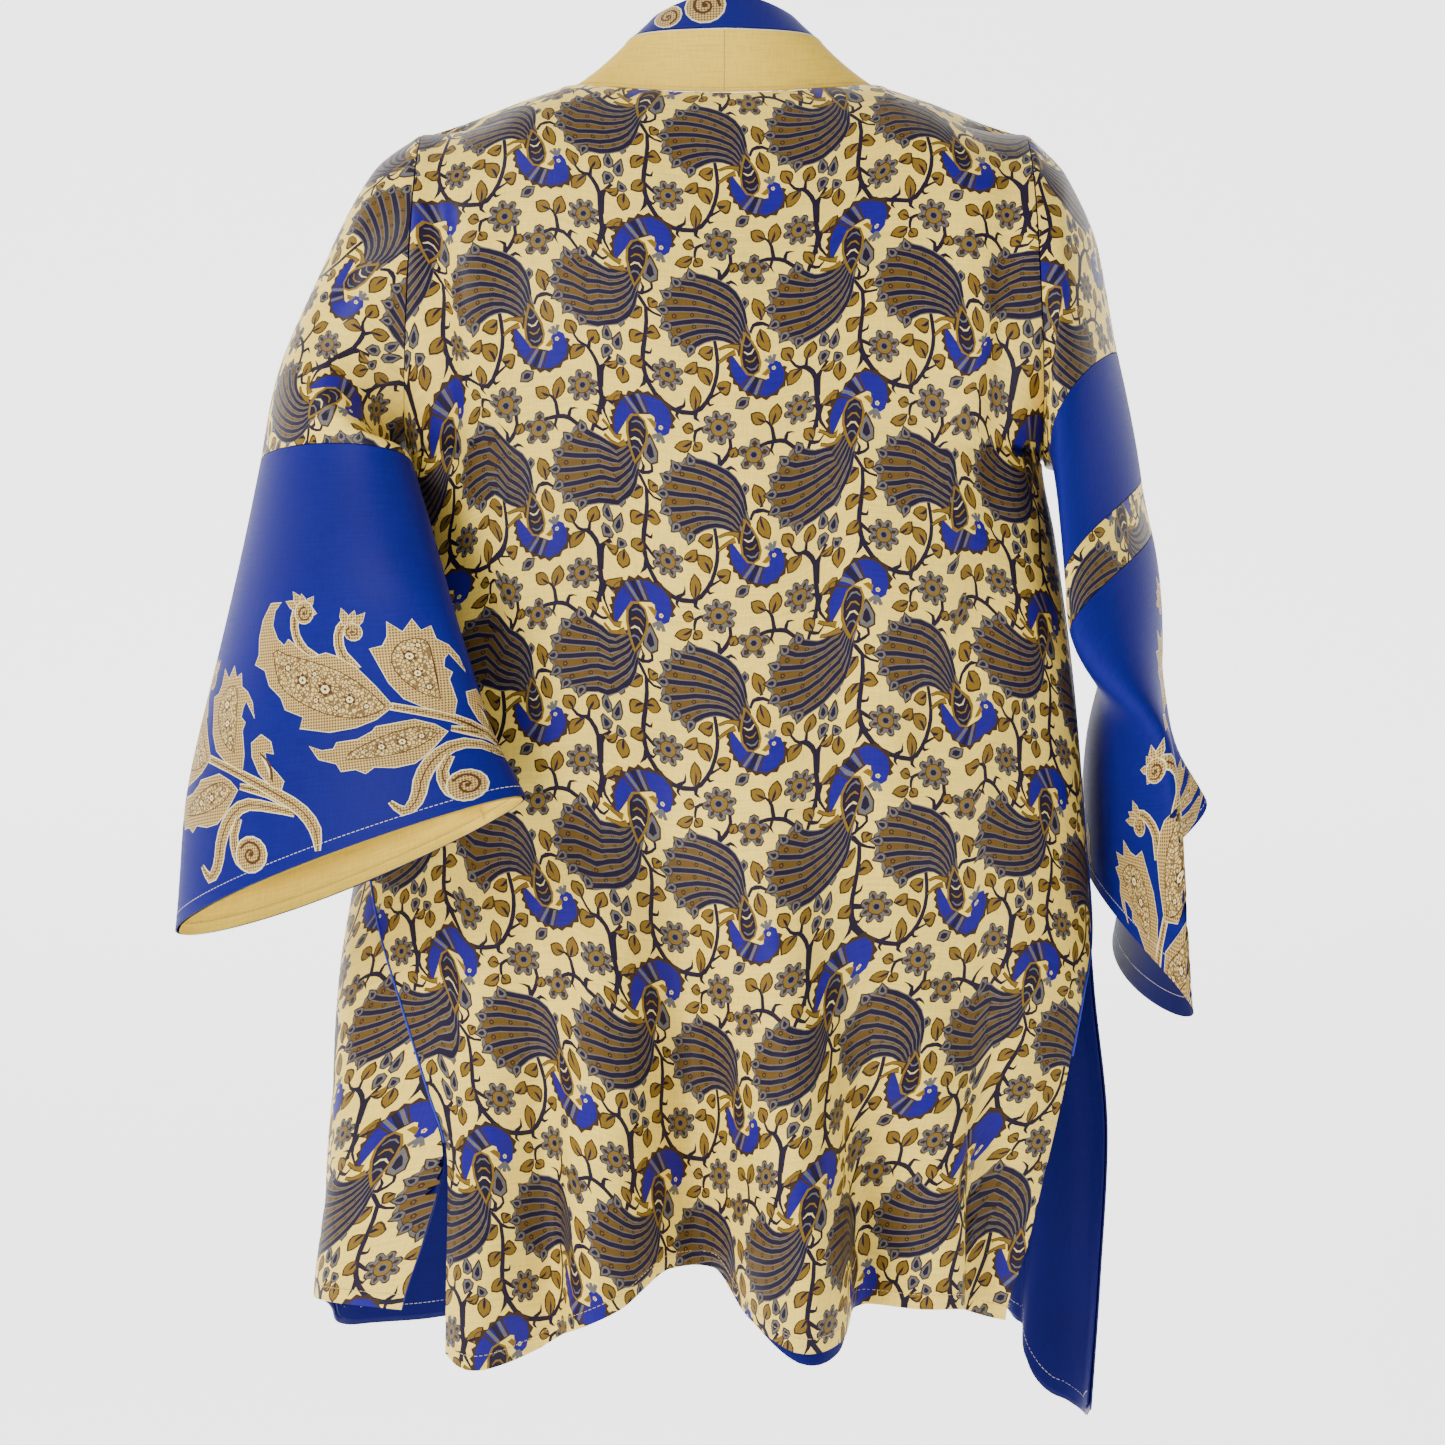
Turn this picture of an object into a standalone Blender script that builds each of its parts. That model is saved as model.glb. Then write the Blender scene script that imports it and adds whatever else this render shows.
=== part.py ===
"""Kimono robe: an open, hip-length robe that keeps its worn shape with nobody in it.

The wearer faces +Y and +X is the wearer's right. The origin is at the middle of the
neck, level with the shoulder seams' inner ends, where the robe rests on its wearer.
Each cut and sewn piece is one thin shell. Body panels lie on rings round the body,
given by height, and sleeves lie on rings along the arm.
"""
import math

import bmesh
import bpy
import numpy as np
from mathutils import Matrix, Vector

# Driving sizes in metres.
NECK_HALF = 0.103
NECK_DEPTH = 0.055
NECK_DROP = 0.014
SHOULDER_HALF = 0.200
SHOULDER_DROP = 0.031
ARMHOLE_BOTTOM = 0.245
ARMHOLE_HALF_DEPTH = 0.085
ARMHOLE_LEAN = 0.010
ARMHOLE_REACH = 0.130
SHOULDER_ROUND = 0.060
CLOTH = 0.0012
LINING_GAP = 0.0021
SEAM_GAP = 0.0012
RING_POWER = 0.90
BAND_WIDTH = 0.043
STRIP_WIDTH = 0.026
BACK_HEM = -0.80
HEM_TURN = 0.004
LINING_PEEK = 0.012
PEEK_PLACE = 0.24
PEEK_SPREAD = 0.20
PANEL_TOP = 0.006
TURN = 0.16
ROUND_SHARE = 0.077
SLEEVE_SIDES = 28
SLEEVE_SEAM = 0.0010
SLEEVE_START = 0.002
BACK_COLUMNS = 37
BACK_ROWS = 20
BACK_LINING_ROW = 11
FRONT_COLUMNS = 15
FRONT_ROWS = 18
FRONT_LINING_ROW = 9
FACING_ROWS = 3
BAND_END = 6.0
STRIP_END = 1.3
STRIP_TAPER = 0.94
STRIP_LEAN = 0.012

LEFT = -1
RIGHT = 1

# Body rings: height, half widths on the wearer's left and right, depth behind and before.
RINGS = {
    "z": (-0.90, -0.80, -0.70, -0.60, -0.50, -0.40, -0.30, -0.245, -0.18, -0.10, 0.02),
    "left": (0.276, 0.275, 0.268, 0.258, 0.241, 0.220, 0.212, 0.210, 0.250, 0.290, 0.300),
    "right": (0.245, 0.252, 0.257, 0.248, 0.241, 0.233, 0.220, 0.211, 0.250, 0.290, 0.300),
    "behind": (0.138, 0.133, 0.125, 0.118, 0.113, 0.112, 0.114, 0.115, 0.112, 0.095, 0.070),
    "before": (0.140, 0.138, 0.132, 0.126, 0.122, 0.122, 0.124, 0.122, 0.115, 0.095, 0.060),
}

# Side seams and slit edges: height, ring angle of each edge from the middle of the back.
# The left seam swings to the back, so the left front shows beside it.
EDGES = {
    "z": (-0.90, -0.80, -0.75, -0.70, -0.66, -0.60, -0.55, -0.50, -0.40, -0.245),
    "back_left": (36.5, 36.7, 37.2, 38.4, 43.0, 52.0, 62.5, 74.0, 90.0, 90.0),
    "front_left": (48.0, 46.0, 42.0, 39.2, 43.0, 52.0, 62.5, 74.0, 90.0, 90.0),
    "back_right": (45.6, 45.0, 48.0, 52.5, 58.0, 70.0, 84.0, 90.0, 90.0, 90.0),
    "front_right": (90.0, 90.0, 90.0, 90.0, 90.0, 90.0, 90.0, 90.0, 90.0, 90.0),
}

# Front edges: height and distance from the middle plane.
FRONT_EDGE = {
    "z": (-0.90, -0.50, -0.30, -0.20, -0.10, -0.03, 0.0),
    "x": (0.062, 0.064, 0.068, 0.074, 0.087, 0.099, 0.103),
}

# Hem of the back: distance to the wearer's right, height.
BACK_HEM_LINE = {
    "x": (-0.180, -0.149, -0.102, -0.064, -0.037, -0.007,
          0.015, 0.043, 0.066, 0.088, 0.133, 0.184),
    "z": (-0.817, -0.826, -0.805, -0.787, -0.768, -0.769,
          -0.792, -0.806, -0.803, -0.790, -0.789, -0.803),
}

# Hems of the fronts: share of the way from the slit to the front edge, height.
FRONT_HEM_LINE = {
    "share": (0.0, 0.12, 0.26, 0.42, 0.60, 0.80, 1.0),
    "left": (-0.796, -0.797, -0.800, -0.815, -0.845, -0.842, -0.812),
    "right": (-0.884, -0.894, -0.888, -0.846, -0.836, -0.826, -0.812),
}

# Folds of the back: place at the hem and at the top end, height of the top end,
# half width at the hem, height out of the ring (below zero is a valley).
BACK_FOLDS = (
    {"hem_x": -0.150, "top_x": -0.150, "top_z": -0.48, "half": 0.034, "out": 0.016},
    {"hem_x": -0.116, "top_x": -0.122, "top_z": -0.46, "half": 0.028, "out": -0.018},
    {"hem_x": -0.074, "top_x": -0.080, "top_z": -0.42, "half": 0.036, "out": 0.014},
    {"hem_x": -0.018, "top_x": -0.040, "top_z": -0.36, "half": 0.046, "out": -0.040},
    {"hem_x": 0.046, "top_x": 0.030, "top_z": -0.40, "half": 0.044, "out": 0.042},
    {"hem_x": 0.094, "top_x": 0.084, "top_z": -0.50, "half": 0.027, "out": -0.020},
    {"hem_x": 0.134, "top_x": 0.128, "top_z": -0.50, "half": 0.032, "out": 0.011},
    {"hem_x": 0.168, "top_x": 0.172, "top_z": -0.52, "half": 0.026, "out": -0.018},
)

# Folds of the fronts: share of the way from the slit to the front edge, as above.
FRONT_FOLDS = (
    {"share": 0.16, "top_z": -0.50, "half": 0.14, "out": 0.005},
    {"share": 0.34, "top_z": -0.45, "half": 0.11, "out": -0.014},
    {"share": 0.58, "top_z": -0.38, "half": 0.13, "out": 0.018},
    {"share": 0.82, "top_z": -0.46, "half": 0.10, "out": -0.008},
)

# Sleeve rings: share of the sleeve's length, centre, half way to the underarm, half way
# to the side behind the wearer, how far the middle bends, and the cloth's turn in degrees.
LEFT_SLEEVE = {
    "bends_across": False,
    "t": (0.0, 0.06, 0.13, 0.21, 0.30, 0.50, 0.75, 1.0),
    "centre": ((-0.2060, 0.0, -0.138), (-0.2225, -0.002, -0.146), (-0.235, -0.006, -0.175),
               (-0.243, -0.012, -0.213), (-0.247, -0.020, -0.258), (-0.246, -0.060, -0.345),
               (-0.247, -0.082, -0.435), (-0.236, -0.112, -0.514)),
    "under": ((-0.005, 0.0, -0.107), (0.007, -0.010, -0.094), (0.014, -0.024, -0.071),
              (0.030, -0.050, -0.038), (0.046, -0.078, 0.003), (0.072, -0.085, 0.006),
              (0.097, -0.062, 0.022), (0.114, -0.046, 0.046)),
    "behind": ((0.0, -0.085, 0.0), (-0.007, -0.083, -0.001), (-0.014, -0.074, 0.002),
               (-0.021, -0.070, 0.006), (-0.028, -0.036, 0.012), (-0.030, -0.032, 0.004),
               (-0.024, -0.036, 0.004), (-0.016, -0.036, 0.007)),
    "bend": ((0.0, 0.0, 0.0), (0.0, 0.0, 0.0), (-0.002, -0.001, 0.0), (-0.006, -0.004, 0.0),
             (-0.012, -0.008, 0.0), (-0.010, -0.010, 0.0), (-0.005, -0.012, 0.0),
             (0.0, -0.014, 0.0)),
    "turn": (0.0, 6.0, 26.0, 45.0, 64.0, 56.0, 48.0, 44.0),
}
RIGHT_SLEEVE = {
    "bends_across": True,
    "t": (0.0, 0.06, 0.15, 0.26, 0.43, 0.50, 0.74, 1.0),
    "centre": ((0.2060, 0.0, -0.138), (0.2205, 0.001, -0.1535), (0.2265, 0.002, -0.179),
               (0.231, 0.002, -0.219), (0.240, 0.004, -0.296), (0.246, 0.006, -0.328),
               (0.296, 0.008, -0.425), (0.319, 0.0, -0.542)),
    "under": ((0.005, 0.0, -0.107), (-0.006, 0.0, -0.0955), (-0.017, 0.002, -0.0725),
              (-0.018, 0.004, -0.043), (-0.014, 0.004, -0.034), (-0.016, 0.004, -0.030),
              (-0.024, -0.006, 0.0), (-0.014, -0.010, 0.028)),
    "behind": ((0.0, -0.085, 0.0), (-0.006, -0.088, -0.002), (-0.014, -0.090, -0.004),
               (-0.018, -0.090, -0.006), (-0.020, -0.084, -0.026), (-0.022, -0.084, -0.030),
               (-0.010, -0.080, -0.014), (-0.022, -0.100, -0.064)),
    "bend": ((0.0, 0.0, 0.0), (0.002, 0.0, 0.0), (0.007, 0.0, 0.0), (0.014, 0.0, 0.0),
             (0.025, 0.0, 0.0), (0.024, 0.0, 0.0), (-0.024, 0.020, 0.0),
             (-0.060, 0.060, 0.006)),
    "turn": (0.0, 1.0, 3.0, 5.0, 15.0, 22.0, 55.0, 90.0),
}

# Where each sleeve piece starts and ends along the sleeve.
LEFT_SEAM = 0.30
RIGHT_SEAMS = (0.26, 0.43, 0.50)

# Band and top strip: share of the way round the back neck, lean towards the middle
# plane, lean forward and rise of the width direction.
BAND_LEAN = {
    "share": (0.0, 0.5, 1.0, 1.4, 2.0, 6.0),
    "inward": (0.0, 0.48, 0.84, 0.94, 0.99, 1.0),
    "forward": (0.16, 0.20, 0.30, 0.28, 0.18, 0.06),
    "rise": (1.0, 0.88, 0.50, 0.26, 0.08, 0.0),
}

PRINT_CREAM = (0.80, 0.70, 0.42)
BLUE = (0.022, 0.040, 0.40)
LINING_BLUE = (0.018, 0.032, 0.36)
GOLD_CREAM = (0.71, 0.55, 0.20)


def smooth(knots, values, at):
    """Cubic curve through the knots that never overshoots them; knots rise."""
    knots = np.asarray(knots, float)
    values = np.asarray(values, float)
    at = np.clip(np.asarray(at, float), knots[0], knots[-1])
    steps = np.diff(knots)
    slopes = np.diff(values, axis=0)
    slopes = slopes / (steps[:, None] if values.ndim > 1 else steps)
    tangents = np.zeros_like(values)
    before, after = slopes[:-1], slopes[1:]
    product = before * after
    total = np.where(np.abs(before + after) < 1e-12, 1.0, before + after)
    tangents[1:-1] = np.where(product > 0, 2.0 * product / total, 0.0)
    tangents[0], tangents[-1] = slopes[0], slopes[-1]
    cell = np.clip(np.searchsorted(knots, at, side="right") - 1, 0, len(knots) - 2)
    width = steps[cell]
    part = (at - knots[cell]) / width
    if values.ndim > 1:
        part, width = part[..., None], width[..., None]
    start, end = values[cell], values[cell + 1]
    return (start * (1 + 2 * part) * (1 - part) ** 2
            + tangents[cell] * width * part * (1 - part) ** 2
            + end * part ** 2 * (3 - 2 * part)
            + tangents[cell + 1] * width * part ** 2 * (part - 1))


def step(low, high, value):
    """Soft step from 0 at low to 1 at high."""
    part = np.clip((value - low) / (high - low), 0.0, 1.0)
    return part * part * (3 - 2 * part)


def ring_sizes(z, side):
    """Half width on this side, depth behind and depth before at a height."""
    name = "left" if side == LEFT else "right"
    return [smooth(RINGS["z"], RINGS[key], z) for key in (name, "behind", "before")]


def ring_point(angle, z, side):
    """Plan position on the body's ring; the angle is 0 at the middle of the back."""
    half, behind, before = ring_sizes(z, side)
    sine, cosine = math.sin(angle), math.cos(angle)
    depth = -behind if cosine > 0 else before
    return (side * half * abs(sine) ** RING_POWER, depth * abs(cosine) ** RING_POWER)


def armhole(z):
    """Distance from the middle plane and half depth of the armhole at a height."""
    share = np.clip((-z - SHOULDER_DROP) / (ARMHOLE_BOTTOM - SHOULDER_DROP), 0.0, 1.0)
    middle = 2 * share - 1
    out = SHOULDER_HALF + ARMHOLE_LEAN * share * share
    return out, ARMHOLE_HALF_DEPTH * math.sqrt(max(0.0, 1 - middle * middle))


def angle_at(distance, z, side):
    """Ring angle behind the side where the ring is this far from the middle plane."""
    half = ring_sizes(z, side)[0]
    return math.asin(min(1.0, (distance / half)) ** (1 / RING_POWER))


def seam_angle(z, side, edge):
    """Ring angle of a panel's side edge; edge is back or front."""
    if z > -ARMHOLE_BOTTOM:
        behind = angle_at(armhole(z)[0], z, side)
        return behind if edge == "back" else math.pi - behind
    name = edge + ("_left" if side == LEFT else "_right")
    return math.radians(smooth(EDGES["z"], EDGES[name], z))


def ridge(x):
    """Depth and height of the neck seam or shoulder line at this distance."""
    share = min(1.0, abs(x) / NECK_HALF)
    if share < 1.0:
        return -NECK_DEPTH * math.sqrt(1 - share * share), NECK_DROP * (share * share - 1)
    slope = SHOULDER_DROP / (SHOULDER_HALF - NECK_HALF)
    return 0.0, -slope * (abs(x) - NECK_HALF)


def rounded(x, y, z, top_y, top_z, side):
    """Close the section towards the shoulder line, and meet the armhole at its edge."""
    drop = min(1.0, max(0.0, (top_z - z) / SHOULDER_ROUND))
    share = math.sqrt(1 - (1 - drop) ** 2)
    closed = top_y + (y - top_y) * share
    if z < -ARMHOLE_BOTTOM:
        return closed
    out, depth = armhole(z)
    edge_y = ring_point(seam_angle(z, side, "back" if y < 0 else "front"), z, side)[1]
    return closed + (math.copysign(depth, y) - edge_y * share) * step(ARMHOLE_REACH, out, abs(x))


def fold_height(place, z, hem_z, folds, key):
    """Sum of the folds' heights out of the ring at a place and a height."""
    total = 0.0
    for fold in folds:
        grown = step(fold["top_z"], hem_z, z)
        if grown <= 0.0:
            continue
        top = fold.get("top_x", fold.get(key))
        middle = top + (fold[key] - top) * grown
        across = (place - middle) / (fold["half"] * (0.75 + 0.25 * grown))
        if abs(across) < 1.0:
            total += fold["out"] * grown * 0.5 * (1 + math.cos(math.pi * across))
    return total


def column_share(v):
    """Shares of a column: fine over the shoulder's round, even further down."""
    if v < TURN:
        return (1 - math.cos(math.pi / 2 * v / TURN)) * ROUND_SHARE
    return ROUND_SHARE + (1 - ROUND_SHARE) * (v - TURN) / (1 - TURN)


def back_point(u, v):
    """Point of the back: u from -1 at the left edge to 1 at the right, v down."""
    side = LEFT if u < 0 else RIGHT
    hem_x = ring_point(abs(u) * seam_angle(BACK_HEM, side, "back"), BACK_HEM, side)[0]
    top_y, top_z = ridge(u * SHOULDER_HALF)
    low = smooth(BACK_HEM_LINE["x"], BACK_HEM_LINE["z"], hem_x)
    z = top_z + (low - top_z) * column_share(v)
    inset = SEAM_GAP / ring_sizes(z, side)[0]
    angle = abs(u) * (seam_angle(z, side, "back") - inset)
    x, y = ring_point(angle, z, side)
    shape = 1 - step(0.0, 0.12, v)
    x = x * (1 - shape) + u * SHOULDER_HALF * shape
    y = rounded(x, y, z, top_y, top_z, side)
    push = fold_height(x, z, low, BACK_FOLDS, "hem_x")
    normal = Vector((math.sin(angle) * side, -math.cos(angle), 0.0))
    return Vector((x, y, z)) + normal * push


def front_point(side, u, v):
    """Point of a front: u from 0 at the side edge to 1 at the front edge, v down."""
    start_x = SHOULDER_HALF
    top_y, top_z = ridge(start_x + (NECK_HALF - start_x) * u)
    name = "left" if side == LEFT else "right"
    low = smooth(FRONT_HEM_LINE["share"], FRONT_HEM_LINE[name], u)
    z = top_z + (low - top_z) * column_share(v)
    half, _, _ = ring_sizes(z, side)
    first = seam_angle(z, side, "front") + SEAM_GAP / half
    edge_x = smooth(FRONT_EDGE["z"], FRONT_EDGE["x"], z)
    last = math.pi - math.asin((edge_x / half) ** (1 / RING_POWER))
    angle = first + (last - first) * u
    x, y = ring_point(angle, z, side)
    shape = 1 - step(0.0, 0.12, v)
    top_x = side * (start_x + (NECK_HALF - start_x) * u)
    x = x * (1 - shape) + top_x * shape
    if y > 0 or z > -ARMHOLE_BOTTOM:
        y = rounded(x, y, z, top_y, top_z, side)
    push = fold_height(u, z, low, FRONT_FOLDS, "share")
    normal = Vector((math.sin(angle) * side, -math.cos(angle), 0.0))
    return Vector((x, y, z)) + normal * push


def sleeve_point(rows, t, angle):
    """Point of a sleeve: t along it, the angle 0 at its top and turning backwards."""
    centre, under, behind, bend = (
        smooth(rows["t"], rows[key], t) for key in ("centre", "under", "behind", "bend"))
    turned = angle + math.radians(smooth(rows["t"], rows["turn"], t))
    along, across = -math.cos(turned), math.sin(turned)
    if rows["bends_across"]:
        wide, wide_part, thin, thin_part = behind, across, under, along
    else:
        wide, wide_part, thin, thin_part = under, along, behind, across
    tangent = wide - 2 * bend * wide_part
    swing = math.atan2(tangent[1], tangent[0]) - math.atan2(wide[1], wide[0])
    swung = Matrix.Rotation(swing, 3, "Z") @ Vector(thin)
    return centre + wide * wide_part + np.array(swung) * thin_part + bend * (1 - wide_part ** 2)


def seam_share(rows, t):
    """Half the gap of a sleeve's cross seam, as a share of the sleeve's length.

    The gap is measured where the two rings come closest together.
    """
    near = 0.001
    turns = [i * 2 * math.pi / SLEEVE_SIDES for i in range(SLEEVE_SIDES)]
    slowest = min(np.linalg.norm(sleeve_point(rows, t + near, angle)
                                 - sleeve_point(rows, t - near, angle)) for angle in turns)
    return SLEEVE_SEAM / 2 * 2 * near / slowest


def neck_base(share, side):
    """Point on the neck seam or front edge; share 0 at the nape, 1 at the shoulder."""
    if share <= 1.0:
        x = NECK_HALF * math.sin(share * math.pi / 2)
        y, z = ridge(x)
        return Vector((side * x, y, z))
    length = (share - 1.0) / (BAND_END - 1.0)
    return front_point(side, 1.0, 0.004 + 0.996 * length)


def band_point(share, across, side, start=SEAM_GAP, width=BAND_WIDTH):
    """Point of the neck band: across runs from the seam to the free edge."""
    lean = [smooth(BAND_LEAN["share"], BAND_LEAN[key], share)
            for key in ("inward", "forward", "rise")]
    direction = Vector((-side * lean[0], lean[1], lean[2])).normalized()
    return neck_base(share, side) + direction * (start + across * width)


def material(name, colour, roughness):
    """Plain cloth material with the piece's own colour."""
    made = bpy.data.materials.new(name)
    made.use_nodes = True
    shader = made.node_tree.nodes["Principled BSDF"]
    shader.inputs["Base Color"].default_value = (*colour, 1.0)
    shader.inputs["Roughness"].default_value = roughness
    shader.inputs["Metallic"].default_value = 0.0
    return made


def grid_of(point, across, down):
    """Rows of points of a surface given by point(u, v)."""
    return np.array([[point(u, v) for u in across] for v in down])


def normals_of(grid, closed, outward):
    """Unit normals at the grid's points, on the side that outward points to."""
    if closed:
        along = np.roll(grid, -1, axis=1) - np.roll(grid, 1, axis=1)
    else:
        along = np.gradient(grid, axis=1)
    normals = np.cross(along, np.gradient(grid, axis=0))
    normals /= np.maximum(np.linalg.norm(normals, axis=2), 1e-9)[:, :, None]
    middle = grid.mean(axis=1, keepdims=True) if closed else np.array(outward)
    facing = (normals * (grid - middle)).sum()
    return normals if facing > 0 else -normals


def sheet(name, grid, closed, colour):
    """One piece of cloth through a grid of points, thickened about its middle."""
    mesh = bpy.data.meshes.new(name)
    shape = bmesh.new()
    rows = [[shape.verts.new(point) for point in row] for row in grid]
    count = len(rows[0])
    last = count if closed else count - 1
    for upper, lower in zip(rows, rows[1:]):
        for i in range(last):
            j = (i + 1) % count
            shape.faces.new((upper[i], upper[j], lower[j], lower[i]))
    shape.to_mesh(mesh)
    shape.free()
    mesh.shade_smooth()
    mesh.materials.append(material(name + "_cloth", colour, 0.6))
    piece = bpy.data.objects.new(name, mesh)
    collection.objects.link(piece)
    solid = piece.modifiers.new("cloth", "SOLIDIFY")
    solid.thickness = CLOTH
    solid.offset = 0.0
    solid.use_even_offset = False


def inner_layer(grid, closed, rows, trim=None):
    """The grid's last rows moved inwards, its lowest row moved down by trim."""
    inner = grid - normals_of(grid, closed, (0.0, 0.0, -0.4)) * LINING_GAP
    inner = inner[rows:].copy()
    if trim is not None:
        inner[-1, :, 2] -= trim
    return inner


def spread(first, last, count):
    """Even values from first to last."""
    return [first + (last - first) * i / (count - 1) for i in range(count)]


def panel_rows(count, round_count=5):
    """Shares down a panel, closer together over the round of the shoulder."""
    return spread(PANEL_TOP, TURN, round_count)[:-1] + spread(TURN, 1.0, count)


def band_shares(end, count):
    """Shares from the left end of the band over the nape to its right end."""
    half = spread(0.0, 1.0, 9)[:-1] + spread(1.0, 2.0, 5)[:-1] + spread(2.0, end, count)
    return [-value for value in reversed(half[1:])] + half


def signed_band(share, across, **sizes):
    """Band point for a signed share: below zero is the wearer's left."""
    return band_point(abs(share), across, LEFT if share < 0 else RIGHT, **sizes)


def build_body():
    """Back and two fronts, each with its blue lining where that shows."""
    across = spread(-1.0, 1.0, BACK_COLUMNS)
    back = grid_of(back_point, across, panel_rows(BACK_ROWS))
    sheet("back", back, False, PRINT_CREAM)
    peek = [LINING_PEEK * math.exp(-((u - PEEK_PLACE) / PEEK_SPREAD) ** 2) - HEM_TURN
            for u in across]
    lining = inner_layer(back, False, BACK_LINING_ROW, np.array(peek))
    sheet("back_lining", lining, False, LINING_BLUE)
    for side, name in ((LEFT, "left_front"), (RIGHT, "right_front")):
        front = grid_of(lambda u, v: front_point(side, u, v),
                        spread(0.0, 1.0, FRONT_COLUMNS), panel_rows(FRONT_ROWS))
        sheet(name, front, False, PRINT_CREAM)
        lining = inner_layer(front, False, FRONT_LINING_ROW, -HEM_TURN)
        sheet(name + "_lining", lining, False, LINING_BLUE)


def build_sleeves():
    """Each sleeve from the armhole to the cuff, in its cut pieces."""
    pieces = (
        ("left_sleeve_top", LEFT_SLEEVE, SLEEVE_START, LEFT_SEAM, 8, PRINT_CREAM),
        ("left_sleeve_cuff", LEFT_SLEEVE, LEFT_SEAM, 1.0, 11, BLUE),
        ("right_sleeve_top", RIGHT_SLEEVE, SLEEVE_START, RIGHT_SEAMS[0], 8, PRINT_CREAM),
        ("right_sleeve_band", RIGHT_SLEEVE, RIGHT_SEAMS[0], RIGHT_SEAMS[1], 4, BLUE),
        ("right_sleeve_strip", RIGHT_SLEEVE, RIGHT_SEAMS[1], RIGHT_SEAMS[2], 3, PRINT_CREAM),
        ("right_sleeve_cuff", RIGHT_SLEEVE, RIGHT_SEAMS[2], 1.0, 12, BLUE),
    )
    turns = [i * 2 * math.pi / SLEEVE_SIDES for i in range(SLEEVE_SIDES)]
    for name, rows, first, last, count, colour in pieces:
        start = first + (seam_share(rows, first) if first > SLEEVE_START else 0.0)
        end = last - (seam_share(rows, last) if last < 1.0 else 0.0)
        tube = grid_of(lambda angle, t: sleeve_point(rows, t, angle), turns,
                       spread(start, end, count))
        sheet(name, tube, True, colour)
        if name == "left_sleeve_cuff":
            sheet("left_cuff_facing", inner_layer(tube, True, -FACING_ROWS), True, GOLD_CREAM)


def build_neck():
    """Cream band round the neck and down the fronts, and the blue strip above it."""
    shares = band_shares(BAND_END, 13)
    sheet("neck_band", grid_of(signed_band, shares, spread(0.0, 1.0, 3)), False, GOLD_CREAM)

    def strip(share, v):
        taper = 1.0 - STRIP_TAPER * step(0.1, STRIP_END, abs(share))
        lean = Vector((0.0, STRIP_LEAN * v, 0.0))
        return signed_band(share, v, start=2 * SEAM_GAP + BAND_WIDTH,
                           width=STRIP_WIDTH * taper) + lean
    short = [share for share in shares if abs(share) <= STRIP_END]
    sheet("neck_top_strip", grid_of(strip, short, spread(0.0, 1.0, 3)), False, BLUE)


for leftover in list(bpy.data.objects):
    bpy.data.objects.remove(leftover, do_unlink=True)
collection = bpy.data.collections.new("kimono_robe")
bpy.context.scene.collection.children.link(collection)
build_body()
build_sleeves()
build_neck()
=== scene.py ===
"""Kimono robe, dressed: printed silk panels, blue crepe sleeves and a cream neck band.

Every cut piece is a thin shell on the form of its solid. Patterns are drawn flat, in the
piece's own cut, and are then laid on the worn shape, so they bend with the folds.
"""
import math

import bmesh
import bpy
import numpy as np
from bpy.props import FloatProperty, FloatVectorProperty, PointerProperty
from bpy.types import Operator, Panel, PropertyGroup
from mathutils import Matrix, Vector
from mathutils.geometry import delaunay_2d_cdt


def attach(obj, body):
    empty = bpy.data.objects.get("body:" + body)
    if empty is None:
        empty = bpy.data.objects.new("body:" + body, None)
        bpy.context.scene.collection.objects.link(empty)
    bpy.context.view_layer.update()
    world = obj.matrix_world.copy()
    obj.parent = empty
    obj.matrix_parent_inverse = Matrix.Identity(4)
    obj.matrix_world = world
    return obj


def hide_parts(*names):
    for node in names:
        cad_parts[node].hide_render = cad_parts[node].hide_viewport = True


bl_info = {
    "name": "Kimono robe",
    "version": (1, 0, 0),
    "blender": (4, 5, 0),
    "location": "3D View > Sidebar > Robe",
    "description": "Makes the robe's printed, blue and cream pieces over their solids",
    "category": "Object",
}

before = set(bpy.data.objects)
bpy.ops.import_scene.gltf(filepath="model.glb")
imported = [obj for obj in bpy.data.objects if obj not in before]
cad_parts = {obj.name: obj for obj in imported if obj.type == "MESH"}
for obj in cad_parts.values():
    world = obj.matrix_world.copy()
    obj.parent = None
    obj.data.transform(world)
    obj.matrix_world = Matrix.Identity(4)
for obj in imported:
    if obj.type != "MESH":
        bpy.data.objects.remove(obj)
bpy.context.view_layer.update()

# Cut of the robe in metres, as its solids have it.
NECK_HALF = 0.103
NECK_DEPTH = 0.055
NECK_DROP = 0.014
SHOULDER_HALF = 0.200
SHOULDER_DROP = 0.031
ARMHOLE_BOTTOM = 0.245
ARMHOLE_HALF_DEPTH = 0.085
ARMHOLE_LEAN = 0.010
ARMHOLE_REACH = 0.130
SHOULDER_ROUND = 0.060
LINING_GAP = 0.0021
SEAM_GAP = 0.0012
RING_POWER = 0.90
BAND_WIDTH = 0.043
STRIP_WIDTH = 0.026
BACK_HEM = -0.80
PANEL_TOP = 0.001
TURN = 0.16
ROUND_SHARE = 0.077
BAND_END = 6.0
STRIP_END = 1.3
STRIP_TAPER = 0.94
STRIP_LEAN = 0.012
STRIP_LEVEL = 0.1
EDGE_TOP = 0.004

# Share of a panel's drop over which it takes its flat width; share of a fold's width and
# of a crease's height where they begin; where creases fade to a panel's edges.
SHOULDER_BLEND = 0.12
FOLD_START = 0.75
CREASE_START = 0.35
BACK_FADE = 0.94
FRONT_FADES = (0.06, 0.90)
FRONT_FADE_DEPTHS = (-0.02, 0.03)

LEFT = -1
RIGHT = 1

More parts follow.
